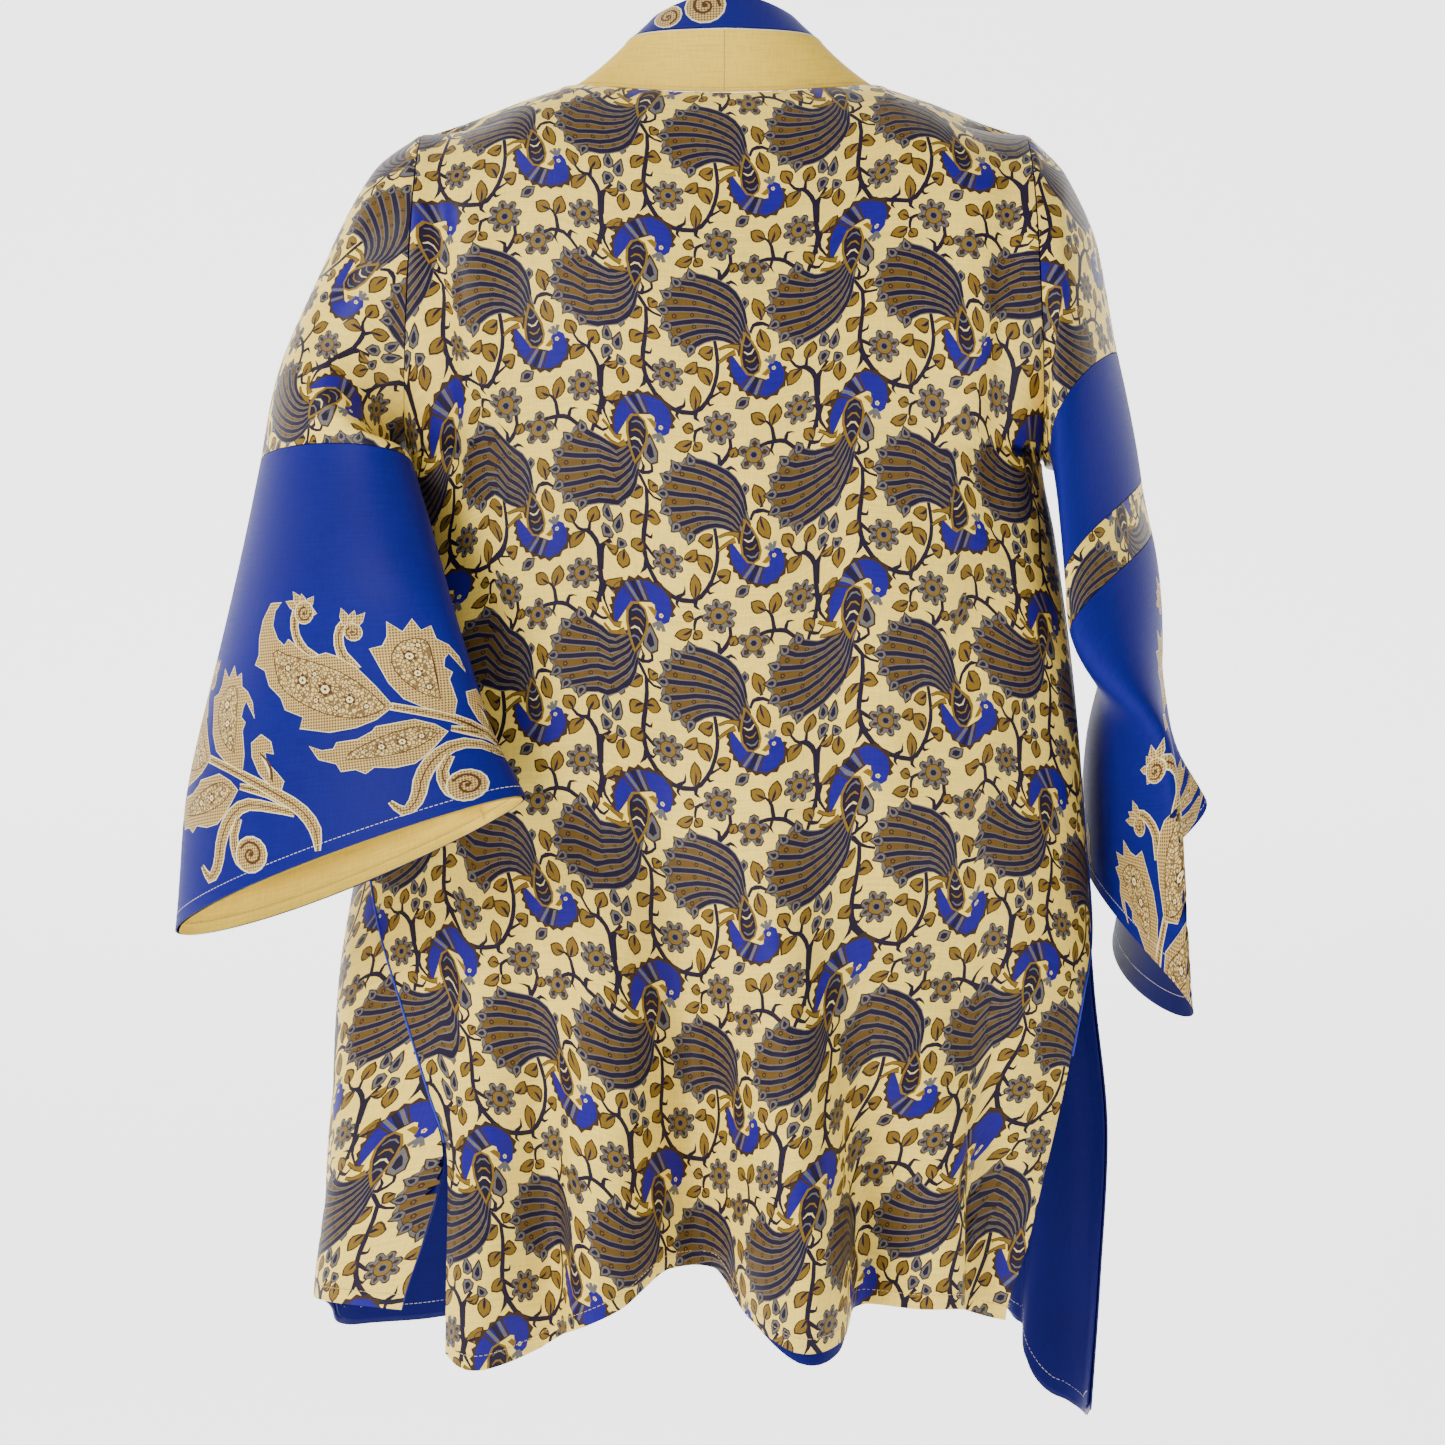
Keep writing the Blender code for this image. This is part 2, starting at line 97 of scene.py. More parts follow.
# Body rings: height, half widths on the wearer's left and right, depth behind and before.
RINGS = {
    "z": (-0.90, -0.80, -0.70, -0.60, -0.50, -0.40, -0.30, -0.245, -0.18, -0.10, 0.02),
    "left": (0.276, 0.275, 0.268, 0.258, 0.241, 0.220, 0.212, 0.210, 0.250, 0.290, 0.300),
    "right": (0.245, 0.252, 0.257, 0.248, 0.241, 0.233, 0.220, 0.211, 0.250, 0.290, 0.300),
    "behind": (0.138, 0.133, 0.125, 0.118, 0.113, 0.112, 0.114, 0.115, 0.112, 0.095, 0.070),
    "before": (0.140, 0.138, 0.132, 0.126, 0.122, 0.122, 0.124, 0.122, 0.115, 0.095, 0.060),
}

# Side seams and slit edges: height, ring angle of each edge from the middle of the back.
EDGES = {
    "z": (-0.90, -0.80, -0.75, -0.70, -0.66, -0.60, -0.55, -0.50, -0.40, -0.245),
    "back_left": (36.5, 36.7, 37.2, 38.4, 43.0, 52.0, 62.5, 74.0, 90.0, 90.0),
    "front_left": (48.0, 46.0, 42.0, 39.2, 43.0, 52.0, 62.5, 74.0, 90.0, 90.0),
    "back_right": (45.6, 45.0, 48.0, 52.5, 58.0, 70.0, 84.0, 90.0, 90.0, 90.0),
    "front_right": (90.0, 90.0, 90.0, 90.0, 90.0, 90.0, 90.0, 90.0, 90.0, 90.0),
}

# Front edges: height and distance from the middle plane.
FRONT_EDGE = {
    "z": (-0.90, -0.50, -0.30, -0.20, -0.10, -0.03, 0.0),
    "x": (0.062, 0.064, 0.068, 0.074, 0.087, 0.099, 0.103),
}

# Hem of the back: distance to the wearer's right, height.
BACK_HEM_LINE = {
    "x": (-0.180, -0.149, -0.102, -0.064, -0.037, -0.007,
          0.015, 0.043, 0.066, 0.088, 0.133, 0.184),
    "z": (-0.817, -0.826, -0.805, -0.787, -0.768, -0.769,
          -0.792, -0.806, -0.803, -0.790, -0.789, -0.803),
}

# Hems of the fronts: share of the way from the slit to the front edge, height.
FRONT_HEM_LINE = {
    "share": (0.0, 0.12, 0.26, 0.42, 0.60, 0.80, 1.0),
    "left": (-0.796, -0.797, -0.800, -0.815, -0.845, -0.842, -0.812),
    "right": (-0.884, -0.894, -0.888, -0.846, -0.836, -0.826, -0.812),
}

# Large folds of the back: place at the hem and at the top end, height of the top end,
# half width at the hem, height out of the ring (below zero is a valley).
BACK_FOLDS = (
    (-0.150, -0.150, -0.48, 0.034, 0.016),
    (-0.116, -0.122, -0.46, 0.028, -0.018),
    (-0.074, -0.080, -0.42, 0.036, 0.014),
    (-0.018, -0.040, -0.36, 0.046, -0.040),
    (0.046, 0.030, -0.40, 0.044, 0.042),
    (0.094, 0.084, -0.50, 0.027, -0.020),
    (0.134, 0.128, -0.50, 0.032, 0.011),
    (0.168, 0.172, -0.52, 0.026, -0.018),
)

# Large folds of the fronts: share of the way from the slit to the front edge, as above.
FRONT_FOLDS = (
    (0.16, 0.16, -0.50, 0.14, 0.005),
    (0.34, 0.34, -0.45, 0.11, -0.014),
    (0.58, 0.58, -0.38, 0.13, 0.018),
    (0.82, 0.82, -0.46, 0.10, -0.008),
)

# Sleeve rings: share of the sleeve's length, centre, half way to the underarm, half way
# to the side behind the wearer, how far the middle bends, and the cloth's turn in degrees.
LEFT_SLEEVE = {
    "t": (0.0, 0.06, 0.13, 0.21, 0.30, 0.50, 0.75, 1.0),
    "centre": ((-0.2060, 0.0, -0.138), (-0.2225, -0.002, -0.146), (-0.235, -0.006, -0.175),
               (-0.243, -0.012, -0.213), (-0.247, -0.020, -0.258), (-0.246, -0.060, -0.345),
               (-0.247, -0.082, -0.435), (-0.236, -0.112, -0.514)),
    "under": ((-0.005, 0.0, -0.107), (0.007, -0.010, -0.094), (0.014, -0.024, -0.071),
              (0.030, -0.050, -0.038), (0.046, -0.078, 0.003), (0.072, -0.085, 0.006),
              (0.097, -0.062, 0.022), (0.114, -0.046, 0.046)),
    "behind": ((0.0, -0.085, 0.0), (-0.007, -0.083, -0.001), (-0.014, -0.074, 0.002),
               (-0.021, -0.070, 0.006), (-0.028, -0.036, 0.012), (-0.030, -0.032, 0.004),
               (-0.024, -0.036, 0.004), (-0.016, -0.036, 0.007)),
    "bend": ((0.0, 0.0, 0.0), (0.0, 0.0, 0.0), (-0.002, -0.001, 0.0), (-0.006, -0.004, 0.0),
             (-0.012, -0.008, 0.0), (-0.010, -0.010, 0.0), (-0.005, -0.012, 0.0),
             (0.0, -0.014, 0.0)),
    "turn": (0.0, 6.0, 26.0, 45.0, 64.0, 56.0, 48.0, 44.0),
}
RIGHT_SLEEVE = {
    "t": (0.0, 0.06, 0.15, 0.26, 0.43, 0.50, 0.74, 1.0),
    "centre": ((0.2060, 0.0, -0.138), (0.2205, 0.001, -0.1535), (0.2265, 0.002, -0.179),
               (0.231, 0.002, -0.219), (0.240, 0.004, -0.296), (0.246, 0.006, -0.328),
               (0.296, 0.008, -0.425), (0.319, 0.0, -0.542)),
    "under": ((0.005, 0.0, -0.107), (-0.006, 0.0, -0.0955), (-0.017, 0.002, -0.0725),
              (-0.018, 0.004, -0.043), (-0.014, 0.004, -0.034), (-0.016, 0.004, -0.030),
              (-0.024, -0.006, 0.0), (-0.014, -0.010, 0.028)),
    "behind": ((0.0, -0.085, 0.0), (-0.006, -0.088, -0.002), (-0.014, -0.090, -0.004),
               (-0.018, -0.090, -0.006), (-0.020, -0.084, -0.026), (-0.022, -0.084, -0.030),
               (-0.010, -0.080, -0.014), (-0.022, -0.100, -0.064)),
    "bend": ((0.0, 0.0, 0.0), (0.002, 0.0, 0.0), (0.007, 0.0, 0.0), (0.014, 0.0, 0.0),
             (0.025, 0.0, 0.0), (0.024, 0.0, 0.0), (-0.024, 0.020, 0.0),
             (-0.060, 0.060, 0.006)),
    "turn": (0.0, 1.0, 3.0, 5.0, 15.0, 22.0, 55.0, 90.0),
}
ARMHOLE_START = 0.002
LEFT_SEAM = 0.30
RIGHT_SEAMS = (0.26, 0.43, 0.50)

# Neck band: share of the way round the back neck, lean towards the middle plane, lean
# forward and rise of the width direction.
BAND_LEAN = {
    "share": (0.0, 0.5, 1.0, 1.4, 2.0, 6.0),
    "inward": (0.0, 0.48, 0.84, 0.94, 0.99, 1.0),
    "forward": (0.16, 0.20, 0.30, 0.28, 0.18, 0.06),
    "rise": (1.0, 0.88, 0.50, 0.26, 0.08, 0.0),
}


def smooth(knots, values, at):
    """Cubic curve through the knots that never overshoots them; knots rise."""
    knots = np.asarray(knots, float)
    values = np.asarray(values, float)
    at = np.clip(np.asarray(at, float), knots[0], knots[-1])
    steps = np.diff(knots)
    slopes = np.diff(values, axis=0)
    slopes = slopes / (steps[:, None] if values.ndim > 1 else steps)
    tangents = np.zeros_like(values)
    before, after = slopes[:-1], slopes[1:]
    product = before * after
    total = np.where(np.abs(before + after) < 1e-12, 1.0, before + after)
    tangents[1:-1] = np.where(product > 0, 2.0 * product / total, 0.0)
    tangents[0], tangents[-1] = slopes[0], slopes[-1]
    cell = np.clip(np.searchsorted(knots, at, side="right") - 1, 0, len(knots) - 2)
    width = steps[cell]
    part = (at - knots[cell]) / width
    if values.ndim > 1:
        part, width = part[..., None], width[..., None]
    start, end = values[cell], values[cell + 1]
    return (start * (1 + 2 * part) * (1 - part) ** 2
            + tangents[cell] * width * part * (1 - part) ** 2
            + end * part ** 2 * (3 - 2 * part)
            + tangents[cell + 1] * width * part ** 2 * (part - 1))


def table_at(table, at, *keys):
    """The table's columns of these names, read at places along its first column."""
    along = next(iter(table))
    return [smooth(table[along], table[key], at) for key in keys]


def step(low, high, value):
    """Soft step from 0 at low to 1 at high."""
    part = np.clip((value - low) / (high - low), 0.0, 1.0)
    return part * part * (3 - 2 * part)


def stacked(*parts):
    """Points whose coordinates are these arrays."""
    return np.stack(np.broadcast_arrays(*parts), axis=-1)


def ring_sizes(z, side):
    """Half width on this side, depth behind and depth before at a height."""
    left, right, behind, before = table_at(RINGS, z, "left", "right", "behind", "before")
    return np.where(side < 0, left, right), behind, before


def ring_point(angle, z, side):
    """Plan position on the body's ring; the angle is 0 at the middle of the back."""
    half, behind, before = ring_sizes(z, side)
    sine, cosine = np.sin(angle), np.cos(angle)
    depth = np.where(cosine > 0, -behind, before)
    return side * half * np.abs(sine) ** RING_POWER, depth * np.abs(cosine) ** RING_POWER


def armhole(z):
    """Distance from the middle plane and half depth of the armhole at a height."""
    share = np.clip((-z - SHOULDER_DROP) / (ARMHOLE_BOTTOM - SHOULDER_DROP), 0.0, 1.0)
    out = SHOULDER_HALF + ARMHOLE_LEAN * share * share
    return out, ARMHOLE_HALF_DEPTH * np.sqrt(np.maximum(0.0, 1 - (2 * share - 1) ** 2))


def seam_angle(z, side, edge):
    """Ring angle of a panel's side edge; edge is back or front."""
    near = np.minimum(1.0, armhole(z)[0] / ring_sizes(z, side)[0])
    behind = np.arcsin(near ** (1 / RING_POWER))
    high = behind if edge == "back" else math.pi - behind
    left, right = table_at(EDGES, z, edge + "_left", edge + "_right")
    return np.where(z > -ARMHOLE_BOTTOM, high, np.radians(np.where(side < 0, left, right)))


def ridge(x):
    """Depth and height of the neck seam or shoulder line at this distance."""
    share = np.minimum(1.0, np.abs(x) / NECK_HALF)
    slope = SHOULDER_DROP / (SHOULDER_HALF - NECK_HALF)
    y = np.where(share < 1, -NECK_DEPTH * np.sqrt(np.maximum(0.0, 1 - share ** 2)), 0.0)
    z = np.where(share < 1, NECK_DROP * (share ** 2 - 1), -slope * (np.abs(x) - NECK_HALF))
    return y, z


def shoulder_share(z, top_z):
    """Share of a section's depth at a height: none at the shoulder line, all below."""
    drop = np.clip((top_z - z) / SHOULDER_ROUND, 0.0, 1.0)
    return np.sqrt(1 - (1 - drop) ** 2)


def pushed(x, y, z, angle, side, push):
    """Points moved out of the ring by this much."""
    return stacked(x + np.sin(angle) * side * push, y - np.cos(angle) * push, z)


def rounded(x, y, z, top_y, top_z, side):
    """Close the section towards the shoulder line, and meet the armhole at its edge."""
    share = shoulder_share(z, top_z)
    out, depth = armhole(z)
    back_y, front_y = (
        ring_point(seam_angle(z, side, edge), z, side)[1] for edge in ("back", "front"))
    edge_y = np.where(y < 0, back_y, front_y)
    dent = (np.copysign(depth, y) - edge_y * share) * step(ARMHOLE_REACH, out, np.abs(x))
    return top_y + (y - top_y) * share + np.where(z < -ARMHOLE_BOTTOM, 0.0, dent)


def fold_height(place, z, hem_z, folds):
    """Sum of the folds' heights out of the ring at a place and a height."""
    total = np.zeros(np.broadcast(place, z).shape)
    for hem, top, top_z, half, out in folds:
        grown = step(top_z, hem_z, z)
        across = (place - (top + (hem - top) * grown)) / (
            half * (FOLD_START + (1 - FOLD_START) * grown))
        hill = 0.5 * (1 + np.cos(math.pi * np.clip(across, -1.0, 1.0)))
        total += out * grown * hill
    return total


def column_share(v):
    """Share of a column's drop at v: fine over the shoulder's round, even further down."""
    turned = (1 - np.cos(math.pi / 2 * np.clip(v, 0.0, TURN) / TURN)) * ROUND_SHARE
    return np.where(v < TURN, turned, ROUND_SHARE + (1 - ROUND_SHARE) * (v - TURN) / (1 - TURN))


def creases(x, z, rows):
    """Height of soft creases: each row runs from one point to another of the panel."""
    total = np.zeros(np.broadcast(x, z).shape)
    for x0, z0, x1, z1, half, out in rows:
        along = ((x - x0) * (x1 - x0) + (z - z0) * (z1 - z0)) / ((x1 - x0) ** 2 + (z1 - z0) ** 2)
        share = np.clip(along, 0.0, 1.0)
        away = np.hypot(x - x0 - (x1 - x0) * share, z - z0 - (z1 - z0) * share)
        swell = CREASE_START + (1 - CREASE_START) * np.sin(math.pi * share)
        total += out * np.exp(-(away / half) ** 2) * swell
    return total


# Soft creases: start and end (to the wearer's right, up), half width, height out.
BACK_CREASES = (
    (-0.188, -0.055, -0.176, -0.285, 0.011, -0.008),
    (-0.160, -0.070, -0.150, -0.270, 0.018, 0.003),
    (0.186, -0.070, 0.176, -0.290, 0.012, -0.006),
    (0.158, -0.060, 0.150, -0.250, 0.016, 0.003),
    (-0.185, -0.290, -0.120, -0.400, 0.014, -0.004),
    (-0.190, -0.330, -0.130, -0.480, 0.016, 0.004),
    (0.186, -0.300, 0.130, -0.420, 0.014, -0.004),
    (0.196, -0.350, 0.140, -0.500, 0.016, 0.004),
    (-0.060, -0.200, -0.044, -0.420, 0.022, -0.003),
    (0.010, -0.180, 0.022, -0.460, 0.026, 0.003),
    (0.060, -0.240, 0.078, -0.520, 0.018, -0.003),
    (-0.100, -0.300, -0.106, -0.520, 0.016, 0.003),
    (0.100, -0.330, 0.108, -0.560, 0.014, 0.003),
)
FRONT_CREASES = (
    (0.186, -0.070, 0.176, -0.290, 0.012, -0.007),
    (0.185, -0.290, 0.120, -0.420, 0.014, -0.004),
    (0.190, -0.340, 0.130, -0.500, 0.016, 0.004),
    (0.110, -0.160, 0.100, -0.420, 0.018, 0.003),
    (0.090, -0.300, 0.085, -0.560, 0.014, -0.003),
)


def back_span(z, side):
    """Ring angles of the back's middle and of its side edge at a height."""
    inset = SEAM_GAP / ring_sizes(z, side)[0]
    return 0.0 * z, seam_angle(z, side, "back") - inset


def back_ends(u, side):
    """Heights of a column's top and hem on the back."""
    hem_x = ring_point(np.abs(u) * seam_angle(BACK_HEM, side, "back"), BACK_HEM, side)[0]
    return ridge(u * SHOULDER_HALF)[1], table_at(BACK_HEM_LINE, hem_x, "z")[0]


def front_span(z, side):
    """Ring angles of a front's side edge and front edge at a height."""
    half = ring_sizes(z, side)[0]
    edge_x = table_at(FRONT_EDGE, z, "x")[0]
    return (seam_angle(z, side, "front") + SEAM_GAP / half,
            math.pi - np.arcsin((edge_x / half) ** (1 / RING_POWER)))


def front_ends(u, side):
    """Heights of a column's top and hem on a front."""
    left, right = table_at(FRONT_HEM_LINE, u, "left", "right")
    return ridge(SHOULDER_HALF + (NECK_HALF - SHOULDER_HALF) * u)[1], np.where(
        side < 0, left, right)


def back(u, v):
    """Point of the back: u from -1 at the left edge to 1 at the right, v down."""
    side = np.where(u < 0, -1.0, 1.0)
    top_y = ridge(u * SHOULDER_HALF)[0]
    top_z, low = back_ends(u, side)
    z = top_z + (low - top_z) * column_share(v)
    angle = np.abs(u) * back_span(z, side)[1]
    x, y = ring_point(angle, z, side)
    shape = 1 - step(0.0, SHOULDER_BLEND, v)
    x = x * (1 - shape) + u * SHOULDER_HALF * shape
    y = rounded(x, y, z, top_y, top_z, side)
    edge = step(1.0, BACK_FADE, np.abs(u))
    push = fold_height(x, z, low, BACK_FOLDS) + creases(x, z, BACK_CREASES) * edge
    return pushed(x, y, z, angle, side, push)


def front(side, u, v):
    """Point of a front: u from 0 at the side edge to 1 at the front edge, v down."""
    top_x = SHOULDER_HALF + (NECK_HALF - SHOULDER_HALF) * u
    top_y = ridge(top_x)[0]
    top_z, low = front_ends(u, side)
    z = top_z + (low - top_z) * column_share(v)
    first, last = front_span(z, side)
    angle = first + (last - first) * u
    x, y = ring_point(angle, z, side)
    shape = 1 - step(0.0, SHOULDER_BLEND, v)
    x = x * (1 - shape) + side * top_x * shape
    y = rounded(x, y, z, top_y, top_z, side)
    edge = (step(0.0, FRONT_FADES[0], u) * step(1.0, FRONT_FADES[1], u)
            * step(*FRONT_FADE_DEPTHS, y))
    push = fold_height(u, z, low, FRONT_FOLDS)
    push = push + creases(np.abs(x), z, FRONT_CREASES) * edge
    return pushed(x, y, z, angle, side, push)


def sleeve(rows, turn, t):
    """Point of a sleeve: turn is 0 at its top and 1 or -1 under it, t runs along it."""
    centre, under, behind, bend, twist = table_at(
        rows, t, "centre", "under", "behind", "bend", "turn")
    turned = turn * math.pi + np.radians(twist)
    along, across = -np.cos(turned)[..., None], np.sin(turned)[..., None]
    if rows is RIGHT_SLEEVE:
        # The right sleeve bends across itself, the left one along its drop.
        wide, wide_part, thin, thin_part = behind, across, under, along
    else:
        wide, wide_part, thin, thin_part = under, along, behind, across
    tangent = wide - 2 * bend * wide_part
    swing = np.arctan2(tangent[..., 1], tangent[..., 0]) - np.arctan2(wide[..., 1], wide[..., 0])
    cosine, sine = np.cos(swing), np.sin(swing)
    swung = stacked(thin[..., 0] * cosine - thin[..., 1] * sine,
                    thin[..., 0] * sine + thin[..., 1] * cosine, thin[..., 2])
    return centre + wide * wide_part + swung * thin_part + bend * (1 - wide_part ** 2)


def neck_base(share, side):
    """Point on the neck seam or front edge; share 0 at the nape, 1 at the shoulder."""
    x = NECK_HALF * np.sin(np.minimum(share, 1.0) * math.pi / 2)
    y, z = ridge(x)
    length = np.maximum(share - 1.0, 0.0) / (BAND_END - 1.0)
    edge = front(side, np.ones_like(length), EDGE_TOP + (1 - EDGE_TOP) * length)
    return np.where((share <= 1.0)[..., None], stacked(side * x, y, z), edge)


def band(share, across, start=SEAM_GAP, width=BAND_WIDTH):
    """Point of the neck band: share runs round it, across from the seam to the free edge."""
    side = np.where(share < 0, -1.0, 1.0)
    share = np.abs(share)
    inward, forward, rise = table_at(BAND_LEAN, share, "inward", "forward", "rise")
    direction = stacked(-side * inward, forward, rise)
    direction /= np.linalg.norm(direction, axis=-1, keepdims=True)
    return neck_base(share, side) + direction * (start + across * width)[..., None]


def top_strip(share, across):
    """Point of the blue strip that stands above the neck band."""
    taper = 1.0 - STRIP_TAPER * step(STRIP_LEVEL, STRIP_END, np.abs(share))
    point = band(share, across, start=2 * SEAM_GAP + BAND_WIDTH, width=STRIP_WIDTH * taper)
    return point + stacked(0.0 * across, STRIP_LEAN * across, 0.0 * across)


# Heights between which the cloth begins to hang straight down.
HANG_START = -0.08
HANG_END = -0.12


class FlatCut:
    """A piece's cut lying flat: distances across from its middle column and down it."""

    COLUMNS = 121
    ROWS = 361
    # Search for a place: shares of each step taken, share of the piece past its edges that
    # is searched too, and how near the place has to come.
    PACES = (1.0,) * 14 + (0.4,) * 24 + (0.15,) * 24
    REACH = 0.3
    NEAR = 1e-5

    def __init__(self, point, u_range, v_range, drop=False):
        self.point, self.u_range, self.v_range = point, u_range, v_range
        us, vs = self.axes()
        grid = point(*np.meshgrid(us, vs))
        across = np.zeros(grid.shape[:2])
        across[:, 1:] = np.cumsum(np.linalg.norm(np.diff(grid, axis=1), axis=2), axis=1)
        middle = np.argmin(np.abs(us)) if u_range[0] < 0 else 0
        along = np.gradient(grid, axis=1)
        along = along[1:] + along[:-1]
        along /= np.linalg.norm(along, axis=2, keepdims=True)
        drops = np.diff(grid, axis=0)
        drops -= along * (drops * along).sum(axis=2, keepdims=True)
        lengths = np.linalg.norm(drops, axis=2)
        if drop:
            # Below the shoulder's round the cloth hangs straight: its rows lie at its heights.
            heights = grid[:, :, 2]
            hanging = step(HANG_START, HANG_END, heights[1:])
            lengths = lengths * (1 - hanging) - np.diff(heights, axis=0) * hanging
        else:
            # A sleeve's rows fan out round its bend; its cut evens them halfway.
            lengths = 0.5 * (lengths + lengths.mean(axis=1, keepdims=True))
        down = np.zeros(grid.shape[:2])
        down[1:] = np.cumsum(lengths, axis=0)
        self.across = across - across[:, middle:middle + 1]
        self.down = down - grid[:1, :, 2] if drop else down
        self.width = float(np.ptp(self.across))
        self.length = float(np.ptp(self.down))
        rows = 0.5 * np.diff(self.down, axis=0)[:, :-1] + 0.5 * np.diff(self.down, axis=0)[:, 1:]
        columns = np.diff(self.across, axis=1)
        self.area = float((rows * 0.5 * (columns[1:] + columns[:-1])).sum())

    def axes(self):
        """Places of the cut's columns and of its rows."""
        return np.linspace(*self.u_range, self.COLUMNS), np.linspace(*self.v_range, self.ROWS)

    def read(self, table, u, v):
        """A table's value and its slopes along u and v, going on straight past its edges."""
        steps = (self.COLUMNS - 1) / (self.u_range[1] - self.u_range[0]), (
            self.ROWS - 1) / (self.v_range[1] - self.v_range[0])
        at_u = (u - self.u_range[0]) * steps[0]
        at_v = (v - self.v_range[0]) * steps[1]
        i = np.clip(np.floor(at_u).astype(int), 0, self.COLUMNS - 2)
        j = np.clip(np.floor(at_v).astype(int), 0, self.ROWS - 2)
        a, b = at_u - i, at_v - j
        first, second = table[j, i], table[j, i + 1]
        third, fourth = table[j + 1, i], table[j + 1, i + 1]
        value = (1 - b) * ((1 - a) * first + a * second) + b * ((1 - a) * third + a * fourth)
        along_u = ((1 - b) * (second - first) + b * (fourth - third)) * steps[0]
        along_v = ((1 - a) * (third - first) + a * (fourth - second)) * steps[1]
        return value, along_u, along_v

    def spot(self, u, v):
        """Distances across and down of a place on the piece."""
        return self.read(self.across, u, v)[0], self.read(self.down, u, v)[0]

    def place(self, across, down):
        """Place on the piece of a point of the cut, and whether it was found."""
        u, v = self.guess(across, down)
        reach_u = self.REACH * abs(self.u_range[1] - self.u_range[0])
        reach_v = self.REACH * abs(self.v_range[1] - self.v_range[0])
        found = np.zeros(across.shape, bool)
        for pace in self.PACES:
            a, a_u, a_v = self.read(self.across, u, v)
            d, d_u, d_v = self.read(self.down, u, v)
            left_a, left_d = across - a, down - d
            found = np.hypot(left_a, left_d) < self.NEAR
            det = a_u * d_v - a_v * d_u
            det = np.where(np.abs(det) < 1e-6, np.copysign(1e-6, det), det)
            step_u = np.clip((left_a * d_v - left_d * a_v) / det, -reach_u, reach_u)
            step_v = np.clip((left_d * a_u - left_a * d_u) / det, -reach_v, reach_v)
            u = np.where(found, u, np.clip(u + pace * step_u, min(self.u_range) - reach_u,
                                           max(self.u_range) + reach_u))
            v = np.where(found, v, np.clip(v + pace * step_v, min(self.v_range) - reach_v,
                                           max(self.v_range) + reach_v))
        return u, v, found

    def guess(self, across, down):
        """First place to search from: by the middle column's rows, then along the row."""
        us, vs = self.axes()
        middle = self.down[:, self.COLUMNS // 2]
        v = np.interp(down, middle, vs)
        row = np.searchsorted(middle, down).clip(0, self.ROWS - 1)
        u = np.zeros(across.shape)
        for j in np.unique(row):
            here = row == j
            u[here] = np.interp(across[here], self.across[j], us)
        return u, v

    def hem(self, inset):
        """Places along the hem, an inset inside it."""
        u, v, found = self.place(self.across[-1], self.down[-1] - inset)
        low_u, high_u = sorted(self.u_range)
        low_v, high_v = sorted(self.v_range)
        found &= (u > low_u) & (u < high_u) & (v > low_v) & (v < high_v)
        return np.stack([u, v], axis=1)[found]


class EasedCut(FlatCut):
    """Cut of a piece that fans out: a coarse net of it is laid flat with the least strain."""

    # Columns and rows to one knot of the net, rounds of easing, and a cell's least half height.
    SKIP_COLUMNS, SKIP_ROWS = 6, 30
    ROUNDS = 80
    LEAST = 0.0016

    def __init__(self, point, u_range, v_range):
        super().__init__(point, u_range, v_range)
        us, vs = self.axes()
        us, vs = us[::self.SKIP_COLUMNS], vs[::self.SKIP_ROWS]
        worn = point(*np.meshgrid(us, vs)).reshape(-1, 3)
        number = np.arange(len(worn)).reshape(len(vs), len(us))
        corners = np.stack([number[:-1, :-1], number[:-1, 1:], number[1:, :-1],
                            number[1:, 1:]]).reshape(4, -1)
        a, b, c, d = worn[corners]
        across = b - a + d - c
        across /= np.linalg.norm(across, axis=1, keepdims=True)
        down = c - a + d - b
        down -= across * (down * across).sum(axis=1, keepdims=True)
        down /= np.linalg.norm(down, axis=1, keepdims=True)
        right = (worn[corners] * across).sum(axis=2)
        low = (worn[corners] * down).sum(axis=2)
        low -= low.mean(axis=0)
        low = np.concatenate([np.minimum(low[:2], -self.LEAST), np.maximum(low[2:], self.LEAST)])
        cell = right + 1j * low
        first, second = [0, 2, 0, 1, 0, 1], [1, 3, 2, 3, 3, 2]
        wanted = cell[second] - cell[first]
        sides = np.arange(wanted.size)
        match = np.zeros((wanted.size, len(worn)))
        match[sides, corners[second].ravel()] += 1
        match[sides, corners[first].ravel()] -= 1
        solve = np.linalg.pinv(match)
        net = (self.across + 1j * self.down)[::self.SKIP_ROWS, ::self.SKIP_COLUMNS].ravel()
        for _ in range(self.ROUNDS):
            laid = net[corners]
            turn = (np.conj(wanted) * (laid[second] - laid[first])).sum(axis=0)
            net = solve @ (wanted * (turn / np.abs(turn))).ravel()
        net = net.reshape(number.shape)
        rows = np.linspace(0, len(vs) - 1, self.ROWS)
        columns = np.linspace(0, len(us) - 1, self.COLUMNS)
        for name, part in (("across", net.real), ("down", net.imag - net.imag.min())):
            tall = np.stack([smooth(np.arange(len(vs)), column, rows) for column in part.T], 1)
            setattr(self, name, np.stack([smooth(np.arange(len(us)), row, columns)
                                          for row in tall]))
        self.width, self.length = float(np.ptp(self.across)), float(np.ptp(self.down))

    def guess(self, across, down):
        """First place to search from: the nearest knot of a net."""
        knots = (self.across + 1j * self.down)[::12, ::3]
        us = np.linspace(*self.u_range, knots.shape[1])
        vs = np.linspace(*self.v_range, knots.shape[0])
        near = np.concatenate([
            np.argmin(np.abs(part[:, None] - knots.ravel()[None]), axis=1)
            for part in np.array_split(across + 1j * down, 1 + len(across) // 2000)])
        return us[near % len(us)], vs[near // len(us)]


